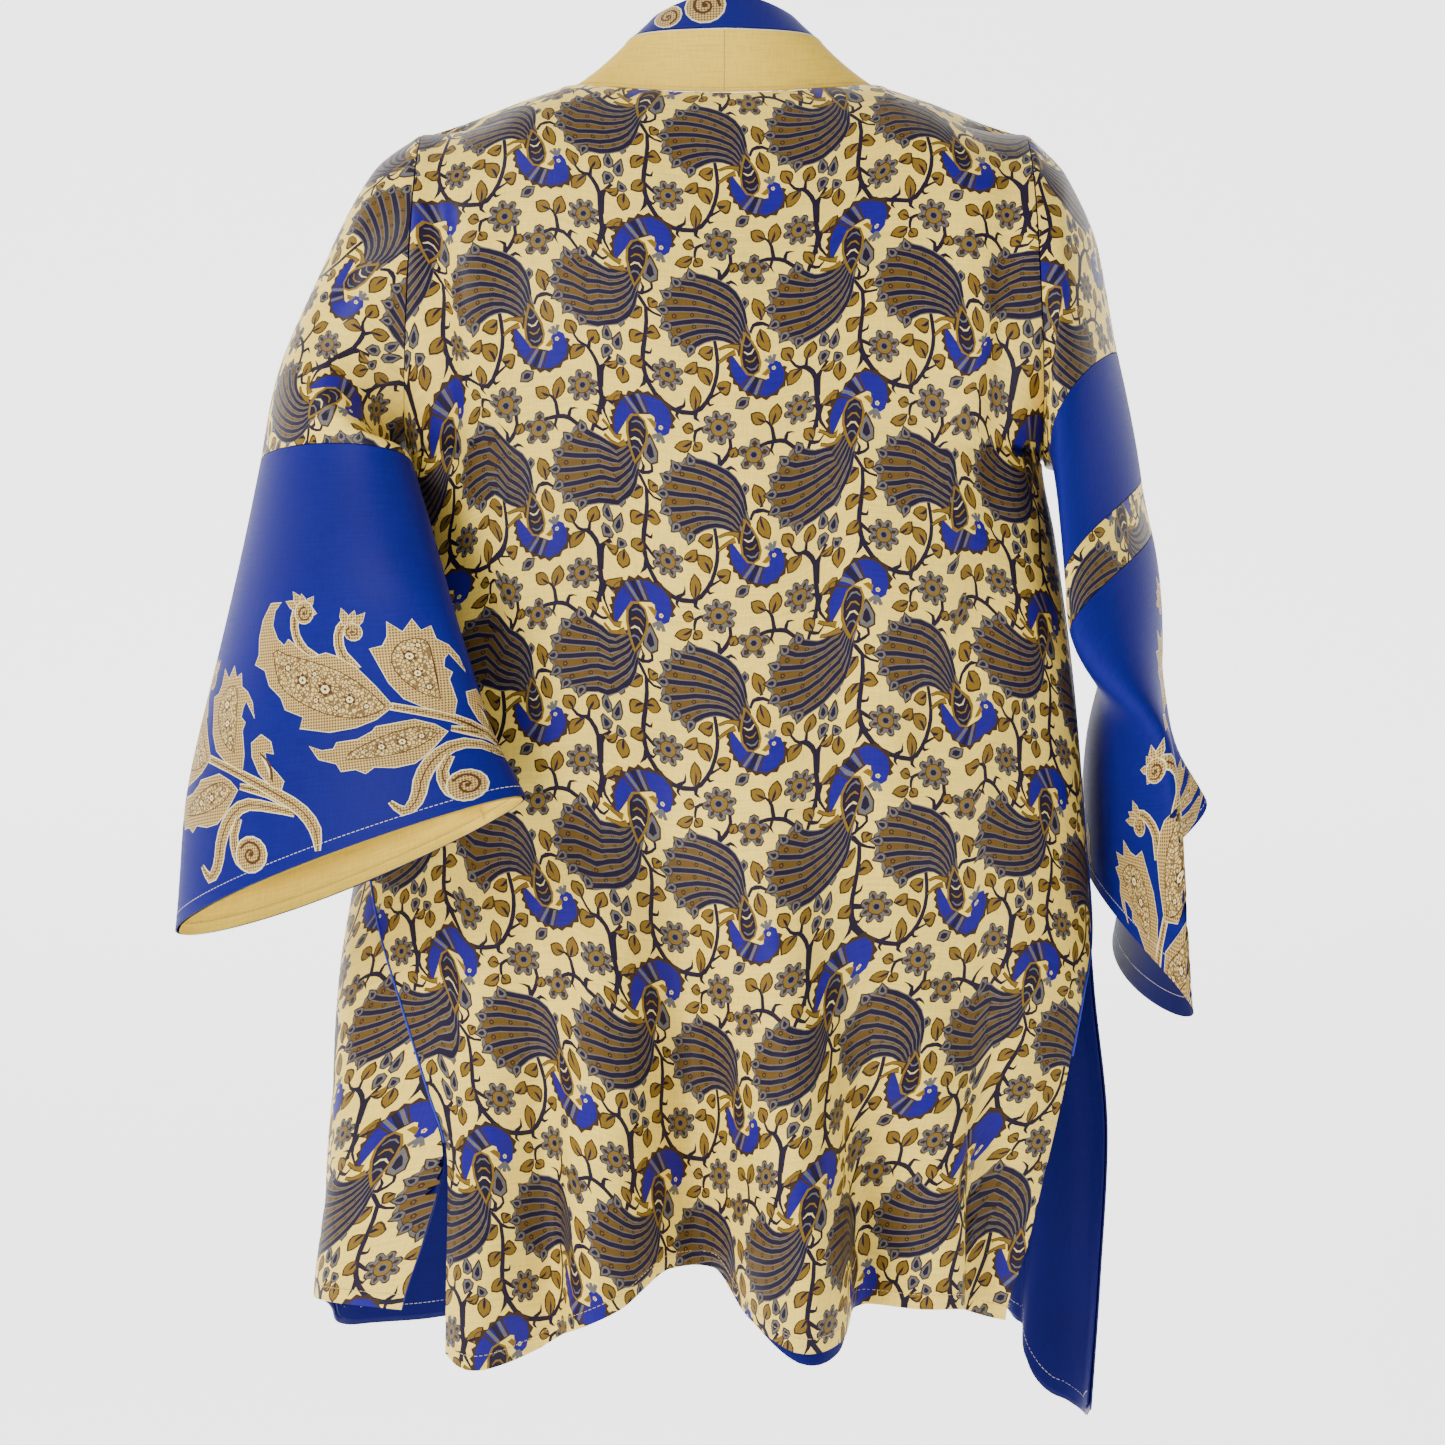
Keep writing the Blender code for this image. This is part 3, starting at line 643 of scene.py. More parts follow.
class BodyCut(FlatCut):
    """Cut of a body panel, measured on the body's ring, on past the panel's own edges."""

    # Heights and ring angles that are measured, which reach past the panel's own edges.
    HEIGHTS = (0.03, -0.93)
    BACK_REACH = (-1.75, 1.75)
    FRONT_REACH = (0.0, 1.9)

    def __init__(self, point, u_range, side, span, ends, folds):
        super().__init__(point, u_range, (PANEL_TOP, 1.0), drop=True)
        self.side, self.span, self.ends, self.folds = side, span, ends, folds
        reach = self.BACK_REACH if side is None else self.FRONT_REACH
        self.ring = FlatCut(self.wide, reach, self.HEIGHTS, drop=True)
        self.across, self.down = self.spot(*np.meshgrid(*self.axes()))

    def side_of(self, value):
        return np.where(value < 0, -1.0, 1.0) if self.side is None else float(self.side)

    def to_piece(self, turned, z):
        """Place on the piece of a ring angle and a height; fronts count from the middle."""
        side = self.side_of(turned)
        first, last = self.span(z, side)
        if self.side is None:
            u = turned / last
        else:
            u = (math.pi - turned - first) / (last - first)
        top, low = self.ends(u, side)
        share = (z - top) / (low - top)
        early = np.arccos(1 - np.clip(share / ROUND_SHARE, 0.0, 1.0)) * 2 / math.pi * TURN
        v = np.where(share < ROUND_SHARE, early,
                     TURN + (share - ROUND_SHARE) / (1 - ROUND_SHARE) * (1 - TURN))
        return u, np.where(share < 0, share, v)

    def from_piece(self, u, v):
        """Ring angle and height of a place on the piece."""
        side = self.side_of(u)
        top, low = self.ends(u, side)
        z = top + (low - top) * column_share(v)
        first, last = self.span(z, side)
        return (u * last if self.side is None else math.pi - first - (last - first) * u), z

    def wide(self, turned, z):
        """The panel's form at a ring angle and a height, without the dent of the armhole."""
        side = self.side_of(turned)
        angle = np.abs(turned) if self.side is None else math.pi - turned
        u, _ = self.to_piece(turned, z)
        x, y = ring_point(angle, z, side)
        top_y, top_z = ridge(np.clip(np.abs(x), 0.0 if self.side is None else NECK_HALF,
                                     SHOULDER_HALF))
        y = top_y + (y - top_y) * shoulder_share(z, top_z)
        place = x if self.side is None else u
        push = fold_height(place, z, BACK_HEM, self.folds)
        return pushed(x, y, z, angle, side, push)

    def spot(self, u, v):
        return self.ring.spot(*self.from_piece(u, v))

    def place(self, across, down):
        turned, z, found = self.ring.place(across, down)
        return (*self.to_piece(turned, z), found)


def plain(cut, spacing):
    """Even triangles over a cut, without a pattern."""
    low_a, high_a = cut.across.min() - spacing, cut.across.max() + spacing
    low_d, high_d = cut.down.min() - spacing, cut.down.max() + spacing
    columns = int((high_a - low_a) / spacing) + 2
    rows = int((high_d - low_d) / spacing) + 2
    across, down = np.meshgrid(np.linspace(low_a, high_a, columns),
                               np.linspace(low_d, high_d, rows))
    spots = np.stack([across.ravel(), down.ravel()], axis=1)
    first = (np.arange(rows - 1)[:, None] * columns + np.arange(columns - 1)).ravel()
    faces = np.concatenate([np.stack([first, first + 1, first + columns], axis=1),
                            np.stack([first + 1, first + columns + 1, first + columns], axis=1)])
    return spots, faces, np.zeros(len(faces), int)


# Places less than this apart are one, and an edge's points less than ON_EDGE off lie on it.
SAME_SPOT = 1e-7
ON_EDGE = 1e-6
LAY_STEP = 2e-4


def listed(parts, key, kind, size=1):
    """One attribute of a mesh's parts as a flat array."""
    values = np.zeros(len(parts) * size, kind)
    parts.foreach_get(key, values)
    return values


def trimmed(cut, places, faces, inks):
    """The pattern's faces cut off along the edges of the piece."""
    mesh = bpy.data.meshes.new("pattern")
    points = np.column_stack([places, np.zeros(len(places))])
    mesh.from_pydata(points.tolist(), [], faces.tolist())
    mesh.polygons.foreach_set("material_index", inks.astype(np.int32))
    shape = bmesh.new()
    shape.from_mesh(mesh)
    for axis, ends in ((0, cut.u_range), (1, cut.v_range)):
        for end, way in ((ends[0], -1), (ends[1], 1)):
            spot, normal = [0.0, 0.0, 0.0], [0.0, 0.0, 0.0]
            spot[axis], normal[axis] = end, way
            everything = shape.verts[:] + shape.edges[:] + shape.faces[:]
            bmesh.ops.bisect_plane(shape, geom=everything, dist=SAME_SPOT, plane_co=spot,
                                   plane_no=normal, clear_outer=True)
    bmesh.ops.triangulate(shape, faces=shape.faces[:])
    shape.to_mesh(mesh)
    shape.free()
    points = listed(mesh.vertices, "co", np.float32, 3)
    corners = listed(mesh.loops, "vertex_index", np.int32)
    inks = listed(mesh.polygons, "material_index", np.int32)
    bpy.data.meshes.remove(mesh)
    return points.reshape(-1, 3)[:, :2].astype(float), corners.reshape(-1, 3), inks


def rim_of(faces):
    """Edges with one face only, in the direction that their face runs."""
    edges = np.concatenate([faces[:, (0, 1)], faces[:, (1, 2)], faces[:, (2, 0)]])
    codes = np.sort(edges, axis=1)
    _, which, counts = np.unique(codes, axis=0, return_index=True, return_counts=True)
    return edges[which[counts == 1]]


# The wrong side's lines: how far a chord may leave a bend, the least and the greatest
# distance between two, and how much further in than the cloth's own thickness they lie.
BEND_ROOM = 0.00030
CLOSEST = 0.0045
WIDEST = 0.024
SLACK = 0.0004
FORM_ROWS = 181
TYPICAL = 0.97


def lines_of(cut, axis):
    """Rows (axis 0) or columns (axis 1) of a cut, closer together where its form bends."""
    us, vs = np.linspace(*cut.u_range, cut.COLUMNS), np.linspace(*cut.v_range, FORM_ROWS)
    steps = np.diff(cut.point(*np.meshgrid(us, vs)), axis=axis)
    lengths = np.linalg.norm(steps, axis=2)
    ways = steps / np.maximum(lengths, 1e-9)[..., None]
    turns = np.linalg.norm(np.diff(ways, axis=axis), axis=2)
    lengths = np.take(lengths, range(1, lengths.shape[axis]), axis=axis)
    bend = turns / np.maximum(lengths, 1e-5)
    room = np.clip(np.sqrt(8 * BEND_ROOM / np.maximum(bend, 1e-6)), CLOSEST, WIDEST)
    needed = np.quantile(lengths / room, TYPICAL, axis=1 - axis)
    total = np.concatenate([[0.0, needed[0]], needed]).cumsum()
    total -= total[0]
    at = (vs, us)[axis]
    number = max(3, int(total[-1]) + 1)
    return np.interp(np.linspace(0, total[-1], number), total, at)[1:-1]


def wrong_side(cut, places, rim):
    """Places and faces of the cloth's other side: the same rim over a coarser inside."""
    ends = np.unique(rim)
    number = {int(end): i for i, end in enumerate(ends)}
    vs, us = (lines_of(cut, axis) for axis in (0, 1))
    inside = np.stack(np.meshgrid(us, vs), axis=-1).reshape(-1, 2)
    spots = np.concatenate([places[ends], inside])
    size = np.array([cut.width / (cut.u_range[1] - cut.u_range[0]),
                     cut.length / (cut.v_range[1] - cut.v_range[0])])
    edges = [(number[int(a)], number[int(b)]) for a, b in rim]
    found, _, faces, origin = delaunay_2d_cdt(
        (spots * size).tolist(), edges, [], 1, SAME_SPOT, True)[:4]
    if any(not from_input for from_input in origin):
        raise RuntimeError(f"the rim of a piece crosses itself: {len(spots)} {len(found)}")
    order = np.array([from_input[0] for from_input in origin])
    return spots, order[np.array(faces)], ends, number


def lay(point, facing, places):
    """Points of a piece and its outward directions at these places."""
    u, v = places[:, 0], places[:, 1]
    along = point(u + LAY_STEP, v) - point(u - LAY_STEP, v)
    down = point(u, v + LAY_STEP) - point(u, v - LAY_STEP)
    normals = np.cross(along, down)
    normals /= np.maximum(np.linalg.norm(normals, axis=1, keepdims=True), 1e-12)
    return point(u, v), normals * facing


def cloth(name, cut, facing, pattern, thickness):
    """One shell of cloth on a cut: pattern outside, a plain wrong side and a closed rim."""
    spots, faces, inks = pattern
    u, v, found = cut.place(spots[:, 0], spots[:, 1])
    whole = found[faces].all(axis=1)
    faces, inks = faces[whole], inks[whole]
    places, faces, inks = trimmed(cut, np.stack([u, v], axis=1), faces, inks)
    for axis, ends in ((0, cut.u_range), (1, cut.v_range)):
        for end in ends:
            places[np.abs(places[:, axis] - end) < ON_EDGE, axis] = end
    points, normals = lay(cut.point, facing, places)
    if facing_of(points, normals, faces) < 0:
        faces = faces[:, ::-1]
    rim = rim_of(faces)
    inner, inner_faces, ends, number = wrong_side(cut, places, rim)
    inner_points, inner_normals = lay(cut.point, facing, inner)
    outer_points = points + normals * (thickness / 2)
    inner_points = inner_points - inner_normals * (thickness / 2)
    inner_points[len(ends):] -= inner_normals[len(ends):] * SLACK
    if facing_of(inner_points, -inner_normals, inner_faces) < 0:
        inner_faces = inner_faces[:, ::-1]
    base = len(points)
    sides = [(int(b), int(a), base + number[int(a)], base + number[int(b)]) for a, b in rim]
    everything = faces.tolist() + (inner_faces + base).tolist() + sides
    mesh = bpy.data.meshes.new(name)
    mesh.from_pydata(np.concatenate([outer_points, inner_points]).tolist(), [], everything)
    ink = mesh.attributes.new("ink", "FLOAT", "FACE")
    ink.data.foreach_set("value", np.concatenate([
        inks, np.full(len(inner_faces) + len(sides), WRONG)]).astype(np.float32))
    woven = mesh.attributes.new("cut", "FLOAT_VECTOR", "POINT")
    across, down = cut.spot(*np.concatenate([places, inner]).T)
    woven.data.foreach_set("vector", stacked(across, down, 0 * down).astype(np.float32).ravel())
    flat_map(mesh, cut, places, inner, len(faces), len(inner_faces))
    mesh.shade_smooth()
    smooth_corners(mesh, np.concatenate([normals, -inner_normals]), len(faces) + len(inner_faces))
    return placed(name, mesh)


def placed(name, data):
    """A new object, in the scene."""
    made = bpy.data.objects.new(name, data)
    bpy.context.scene.collection.objects.link(made)
    return made


def facing_of(points, normals, faces):
    """Above zero where the faces run the way that the normals point."""
    sides = np.cross(points[faces[:, 1]] - points[faces[:, 0]],
                     points[faces[:, 2]] - points[faces[:, 0]])
    return float((sides * normals[faces[:, 0]]).sum())


def smooth_corners(mesh, normals, soft):
    """Shade the two sides by the form's own directions, and the rim flat."""
    shades = normals[listed(mesh.loops, "vertex_index", np.int32)]
    flat = listed(mesh.polygons, "normal", np.float32, 3).reshape(-1, 3)[soft:]
    shades[soft * 3:] = np.repeat(flat, 4, axis=0)
    mesh.normals_split_custom_set(shades.tolist())


def flat_map(mesh, cut, outer, inner, outer_faces, inner_faces):
    """UV map of the flat cut: pattern above, wrong side below, rim along the edges."""
    share, margin, brim = 0.74, 0.012, 0.003

    def spread(places, low, high):
        across, down = cut.spot(places[:, 0], places[:, 1])
        x = (across - cut.across.min()) / np.ptp(cut.across)
        y = 1 - (down - cut.down.min()) / np.ptp(cut.down)
        return np.stack([margin + x * (1 - 2 * margin),
                         low + margin + y * (high - low - 2 * margin)], axis=1)

    upper, lower = spread(outer, 1 - share, 1.0), spread(inner, 0.0, 1 - share)
    both = np.concatenate([upper, lower])
    corners = listed(mesh.loops, "vertex_index", np.int32)
    spots = both[corners]
    rim = corners[(outer_faces + inner_faces) * 3:].reshape(-1, 4)
    middle = np.array([0.5, 1 - share / 2])
    for corner, source in ((0, 0), (1, 1), (2, 1), (3, 0)):
        place = both[rim[:, source]]
        if corner > 1:
            place = place + np.sign(place - middle) * brim
        spots[(outer_faces + inner_faces) * 3 + np.arange(len(rim)) * 4 + corner] = place
    layer = mesh.uv_layers.new(name="OFBake")
    layer.data.foreach_set("uv", spots.astype(np.float32).ravel())


# Inks of the cloths, in the order of the materials' ramps.
GROUND, OCHRE, BROWN, NAVY, ROYAL, GREY, PALE, UMBER, WRONG = range(9)
INKS = 9

# One repeat of the print, in millimetres: across and down.
REPEAT_WIDTH = 137.0
REPEAT_HEIGHT = 118.0
MM = 0.001
FRAME_MARGIN = 8 + 8j

# A point that lies less than this off its line, in millimetres, is left out.
STRAIGHT = 0.23
SAME_POINT = 1e-4
ON_FRAME = 1e-3
GRID = 9.0


def ring(centre, radius, count, turn=0.0):
    """Round outline."""
    angles = np.arange(count) * 2 * math.pi / count
    return centre + radius * (np.cos(angles) + 1j * np.sin(angles)) * np.exp(1j * turn)


def petalled(centre, radius, petals, depth, turn=0.0, fine=4):
    """Round outline with this many round petals, its notches as deep as depth."""
    angles = np.arange(petals * fine) * 2 * math.pi / (petals * fine)
    reach = 1 - depth * (1 - np.abs(np.sin(petals * angles / 2)) ** 0.7)
    return centre + radius * reach * np.exp(1j * (angles + turn))


def blade(base, tip, width, bend=0.0, count=6):
    """Leaf outline between two points, its middle line bent to one side."""
    share = np.linspace(0, 1, count)
    spine = base + (tip - base) * (share + 1j * bend * np.sin(math.pi * share))
    half = width / 2 * np.sin(math.pi * share) ** 0.75 * 1j * (tip - base) / abs(tip - base)
    return np.concatenate([spine + half, (spine - half)[-2:0:-1]])


def drop(point, end, width, count=10):
    """Outline with a sharp end at point and a round one at end."""
    angles = np.arange(count) * 2 * math.pi / count
    along = (1 - np.cos(angles)) / 2
    aside = np.sin(angles) * np.sin(angles / 2) * width * 0.62
    return point + (end - point) * along + aside * 1j * (end - point) / abs(end - point)


def curve(points, count):
    """Smooth line through the points."""
    points = np.asarray(points, complex)
    ends = np.concatenate([[2 * points[0] - points[1]], points, [2 * points[-1] - points[-2]]])
    at = np.linspace(0, len(points) - 1, count)
    cell = np.clip(np.floor(at).astype(int), 0, len(points) - 2)
    t = at - cell
    p0, p1, p2, p3 = ends[cell], ends[cell + 1], ends[cell + 2], ends[cell + 3]
    return 0.5 * (2 * p1 + (p2 - p0) * t + (2 * p0 - 5 * p1 + 4 * p2 - p3) * t ** 2
                  + (3 * p1 - p0 - 3 * p2 + p3) * t ** 3)


def stroke(points, widths, count):
    """Outline of a brush line through the points; widths run evenly from end to end."""
    path = curve(points, count)
    along = np.gradient(path)
    half = np.interp(np.linspace(0, 1, count), np.linspace(0, 1, len(widths)), widths) / 2
    side = 1j * along / np.abs(along) * half
    return np.concatenate([path + side, (path - side)[::-1]])


class Drawing:
    """Flat shapes in painter's order, each a closed outline with its ink."""

    def __init__(self):
        self.shapes = []

    def add(self, outline, ink):
        self.shapes.append((np.asarray(outline, complex), ink))

    def stamp(self, other, at, plain=1.0, mirrored=0.0):
        """Another drawing, placed; its points and their mirror images times these numbers."""
        for outline, ink in other.shapes:
            self.add(at + plain * outline + mirrored * np.conj(outline), ink)

    def strokes(self, points, count, *layers):
        """Brush lines laid over one another, each with its widths and its ink."""
        for widths, ink in layers:
            self.add(stroke(points, widths, count), ink)

    def lined(self, outline, ink, line, width):
        """Shape with an even line round it."""
        closed = np.concatenate([outline, outline[:1]])
        way = np.roll(outline, -1) - np.roll(outline, 1)
        side = 1j * way / np.maximum(np.abs(way), 1e-9) * width
        side = np.concatenate([side, side[:1]])
        self.add(np.concatenate([closed + side, (closed - side)[::-1]]), line)
        self.add(outline, ink)

    def leaf(self, base, tip, width, bend=0.0):
        """Ochre leaf with a dark outline and a dark vein from its base."""
        self.add(blade(base, tip, width + 1.1, bend), BROWN)
        way = (tip - base) / abs(tip - base)
        self.add(blade(base + 0.8 * way, tip - 1.2 * way, width - 0.7, bend, 5), OCHRE)
        self.add(blade(base, base + (tip - base) * (0.62 + 0.7j * bend), width * 0.22, bend, 4),
                 NAVY)

    def hook(self, base, tip, width, bend):
        """Curled thorn of a stem."""
        self.add(stroke([base, (base + tip) / 2 + 1j * bend * (tip - base), tip],
                        (width, width * 0.8, 0.3), 5), NAVY)

    def flower(self, centre, radius, petals=8, turn=0.0):
        """Round flower: grey petals with dark hearts about an ochre eye."""
        depth, heart = 0.30 if petals > 6 else 0.45, 0.5
        self.add(petalled(centre, radius, petals, depth, turn), BROWN)
        self.add(petalled(centre, radius * 0.91, petals, depth, turn), GREY)
        for i in range(petals):
            way = np.exp(1j * (turn + (i + 0.5) * 2 * math.pi / petals))
            self.add(blade(centre + radius * (heart - 0.08) * way, centre + radius * 0.84 * way,
                           radius * 1.9 / petals, 0.0, 3), BROWN)
        for reach, count, ink in ((1.0, 10, BROWN), (0.9, 10, OCHRE), (0.55, 7, GREY),
                                  (0.36, 6, NAVY)):
            self.add(ring(centre, radius * reach * heart, count), ink)

    def rosette(self, centre, length, turn=0.0):
        """Small pointed flower bud."""
        way = np.exp(1j * turn)
        for reach, width, ink in ((1.0, 0.72, BROWN), (0.84, 0.54, GREY), (0.5, 0.32, NAVY)):
            self.add(blade(centre - way * length / 2 * reach, centre + way * length / 2 * reach,
                           width * length, 0.0, 4), ink)

    def eye(self, point, end, width):
        """Drop-shaped eye of a feather."""
        self.add(drop(point, end, width, 8), BROWN)
        inner = point + (end - point) * 0.12
        self.add(drop(inner, end - (end - point) * 0.06, width * 0.8, 8), GREY)
        self.add(drop(point + (end - point) * 0.32, end - (end - point) * 0.2, width * 0.45, 6),
                 NAVY)


TAIL_MIDDLE = -25 - 13j
TAIL_RADIUS = 25.0
TAIL_BANDS = 6


def tail_line(share, count):
    """Line of the tail from its rim to the body; share 0 is its upper edge, 1 its lower."""
    start = TAIL_MIDDLE + TAIL_RADIUS * np.exp(1j * math.radians(254 - 144 * share))
    middle = (-1 - 35j) * (1 - share) + (-17 - 4j) * share
    end = (2.0 - 6j) * (1 - share) + (-4.5 + 8j) * share
    t = np.linspace(0, 1, count)
    return start * (1 - t) ** 2 + 2 * middle * t * (1 - t) + end * t ** 2


def peacock_tail():
    """Curved tail of dotted bands; its body end lies at the origin."""
    tail = Drawing()
    lobes = np.arange(29)
    turns = np.radians(np.linspace(262, 102, len(lobes)))
    bulge = np.abs(np.sin(lobes * math.pi / 4)) ** 0.7
    for reach, ink in ((4.6, BROWN), (3.9, GREY), (1.6, BROWN)):
        outer = TAIL_MIDDLE + (TAIL_RADIUS - 1 + reach * (0.5 + 0.5 * bulge)) * np.exp(1j * turns)
        tail.add(np.concatenate([outer, [-22 - 4j, -18 - 24j]]), ink)
    arc = TAIL_MIDDLE + TAIL_RADIUS * np.exp(1j * np.radians(np.linspace(114, 246, 8)))
    tail.add(np.concatenate([tail_line(0.0, 8), tail_line(1.0, 7)[::-1], arc]), UMBER)
    tail.add([2 - 8j, 5 + 3j, 2 + 12j, -3 + 15j, -5 + 8j, -1 + 0j], BROWN)
    for i in range(4):
        start = 1.2 - 6j + i * (-1.7 + 4.0j)
        tail.add(blade(start, start + 3.5 + 8.5j - i * (0.9 + 1.0j), 1.7, 0.0, 3), GREY)
    for i in range(TAIL_BANDS):
        line = tail_line((i + 0.5) / TAIL_BANDS, 13)
        for j in range(1, 10, 2):
            tail.add(ring(line[j], 2.0 - 0.12 * j, 5, turn=j), BROWN)
            tail.add(ring(line[j], 0.9 - 0.06 * j, 3), OCHRE)
    for i in range(TAIL_BANDS + 1):
        line = tail_line(i / TAIL_BANDS, 8)
        tail.strokes(line, 8, ((4.4, 4.2, 2.0), GREY), ((2.9, 2.8, 1.5), NAVY))
    for i in range(7):
        way = np.exp(1j * math.radians(252 - 144 * i / 6))
        tail.eye(TAIL_MIDDLE + (TAIL_RADIUS + 6.0) * way,
                 TAIL_MIDDLE + (TAIL_RADIUS - 3.4) * way, 7.4)
    return tail


def peacock_body():
    """Striped wing, blue breast, collar, neck and head; the tail's end lies at the origin."""
    bird = Drawing()
    for leg in ([-3 + 9j, -9 + 7.5j, -15 + 10j], [-5 + 12j, -10 + 14j, -15 + 18.5j]):
        bird.strokes(leg, 4, ((4.2, 2.6, 2.0), BROWN), ((3.0, 1.6, 1.0), OCHRE))
    spine = [-8 + 14j, -5 + 22j, 0 + 29.5j, 8 + 34.5j, 16 + 35.5j, 21 + 31j, 20.5 + 24j]
    path = curve(spine, 25)
    way = np.gradient(path)
    half = np.interp(np.linspace(0, 1, 25), np.linspace(0, 1, 7),
                     (1.0, 3.6, 4.6, 5.8, 5.6, 5.4, 4.6))
    side = 1j * way / np.abs(way)
    spikes = np.where(np.arange(25) % 2 == 0, 0.6, 2.4)
    bird.add(np.concatenate([path + side * (half + spikes), (path - side * half)[::-3]]), BROWN)
    bird.add(stroke(spine, (0.6, 6.6, 8.4, 10.6, 10.4, 10.0, 8.4), 12), ROYAL)
    for share, width, ink in ((0.37, 1.2, BROWN), (0.415, 1.9, GREY), (0.47, 3.0, NAVY),
                              (0.525, 1.9, GREY), (0.565, 1.2, BROWN)):
        at = int(share * 24)
        across = side[at] * 5.2
        middle = path[at] + way[at] * (share * 24 - at)
        bird.add(stroke([middle - across, middle + across], (width, width), 2), ink)
    bird.add(drop(1 - 1j, 6.6 + 28j, 14, 12), OCHRE)
    bird.add(drop(1.6 + 1.5j, 6.4 + 26.8j, 11, 12), NAVY)
    for i, ink in enumerate((GREY, PALE, OCHRE, GREY)):
        at = 2.4 + 6.4j + i * (1.1 + 5.0j)
        bird.add(stroke([at - 2.8 + 0.5j - 0.3 * i, at + 0.6 + 2.6j, at + 3.2 - 1j + 0.2 * i],
                        (0.5, 1.5, 0.5), 4), ink)
    bird.add(ring(19.8 + 23.6j, 4.9, 9), ROYAL)
    bird.add(ring(19.2 + 23.4j, 1.4, 5), PALE)
    bird.add(ring(19.2 + 23.4j, 0.7, 3), NAVY)
    bird.add([15.8 + 22.5j, 11.4 + 27.0j, 14.4 + 28.0j, 17 + 26j], OCHRE)
    for tip in (13.0 + 17.0j, 16.0 + 14.6j, 20.0 + 14.0j):
        bird.add(drop(18.6 + 20.6j, tip, 3.4, 5), GREY)
    return bird


def swirl(drawing, centre, radius, turn):
    """Round curl with a winding line."""
    drawing.lined(ring(centre, radius, 14), OCHRE, PALE, radius * 0.09)
    steps = np.linspace(0, 1, 12)
    winding = centre + radius * (0.80 - 0.66 * steps) * np.exp(1j * (turn + steps * 9.0))
    drawing.add(stroke(winding, (radius * 0.16, radius * 0.16, radius * 0.10), 20), BROWN)
    drawing.add(ring(centre, radius * 0.16, 6), BROWN)


def veined_leaf(drawing, outline, heart, flowers):
    """Toothed leaf: latticed border, inner field with small flowers."""
    drawing.lined(np.array(outline, complex), OCHRE, PALE, 0.55)
    drawing.lined(curve(heart + heart[:1], 2 * len(heart))[:-1], GREY, BROWN, 0.65)
    for centre, radius in flowers:
        drawing.add(petalled(centre, radius, 6, 0.35, fine=2), BROWN)
        drawing.add(ring(centre, radius * 0.55, 6), PALE)
        drawing.add(ring(centre, radius * 0.22, 4), BROWN)


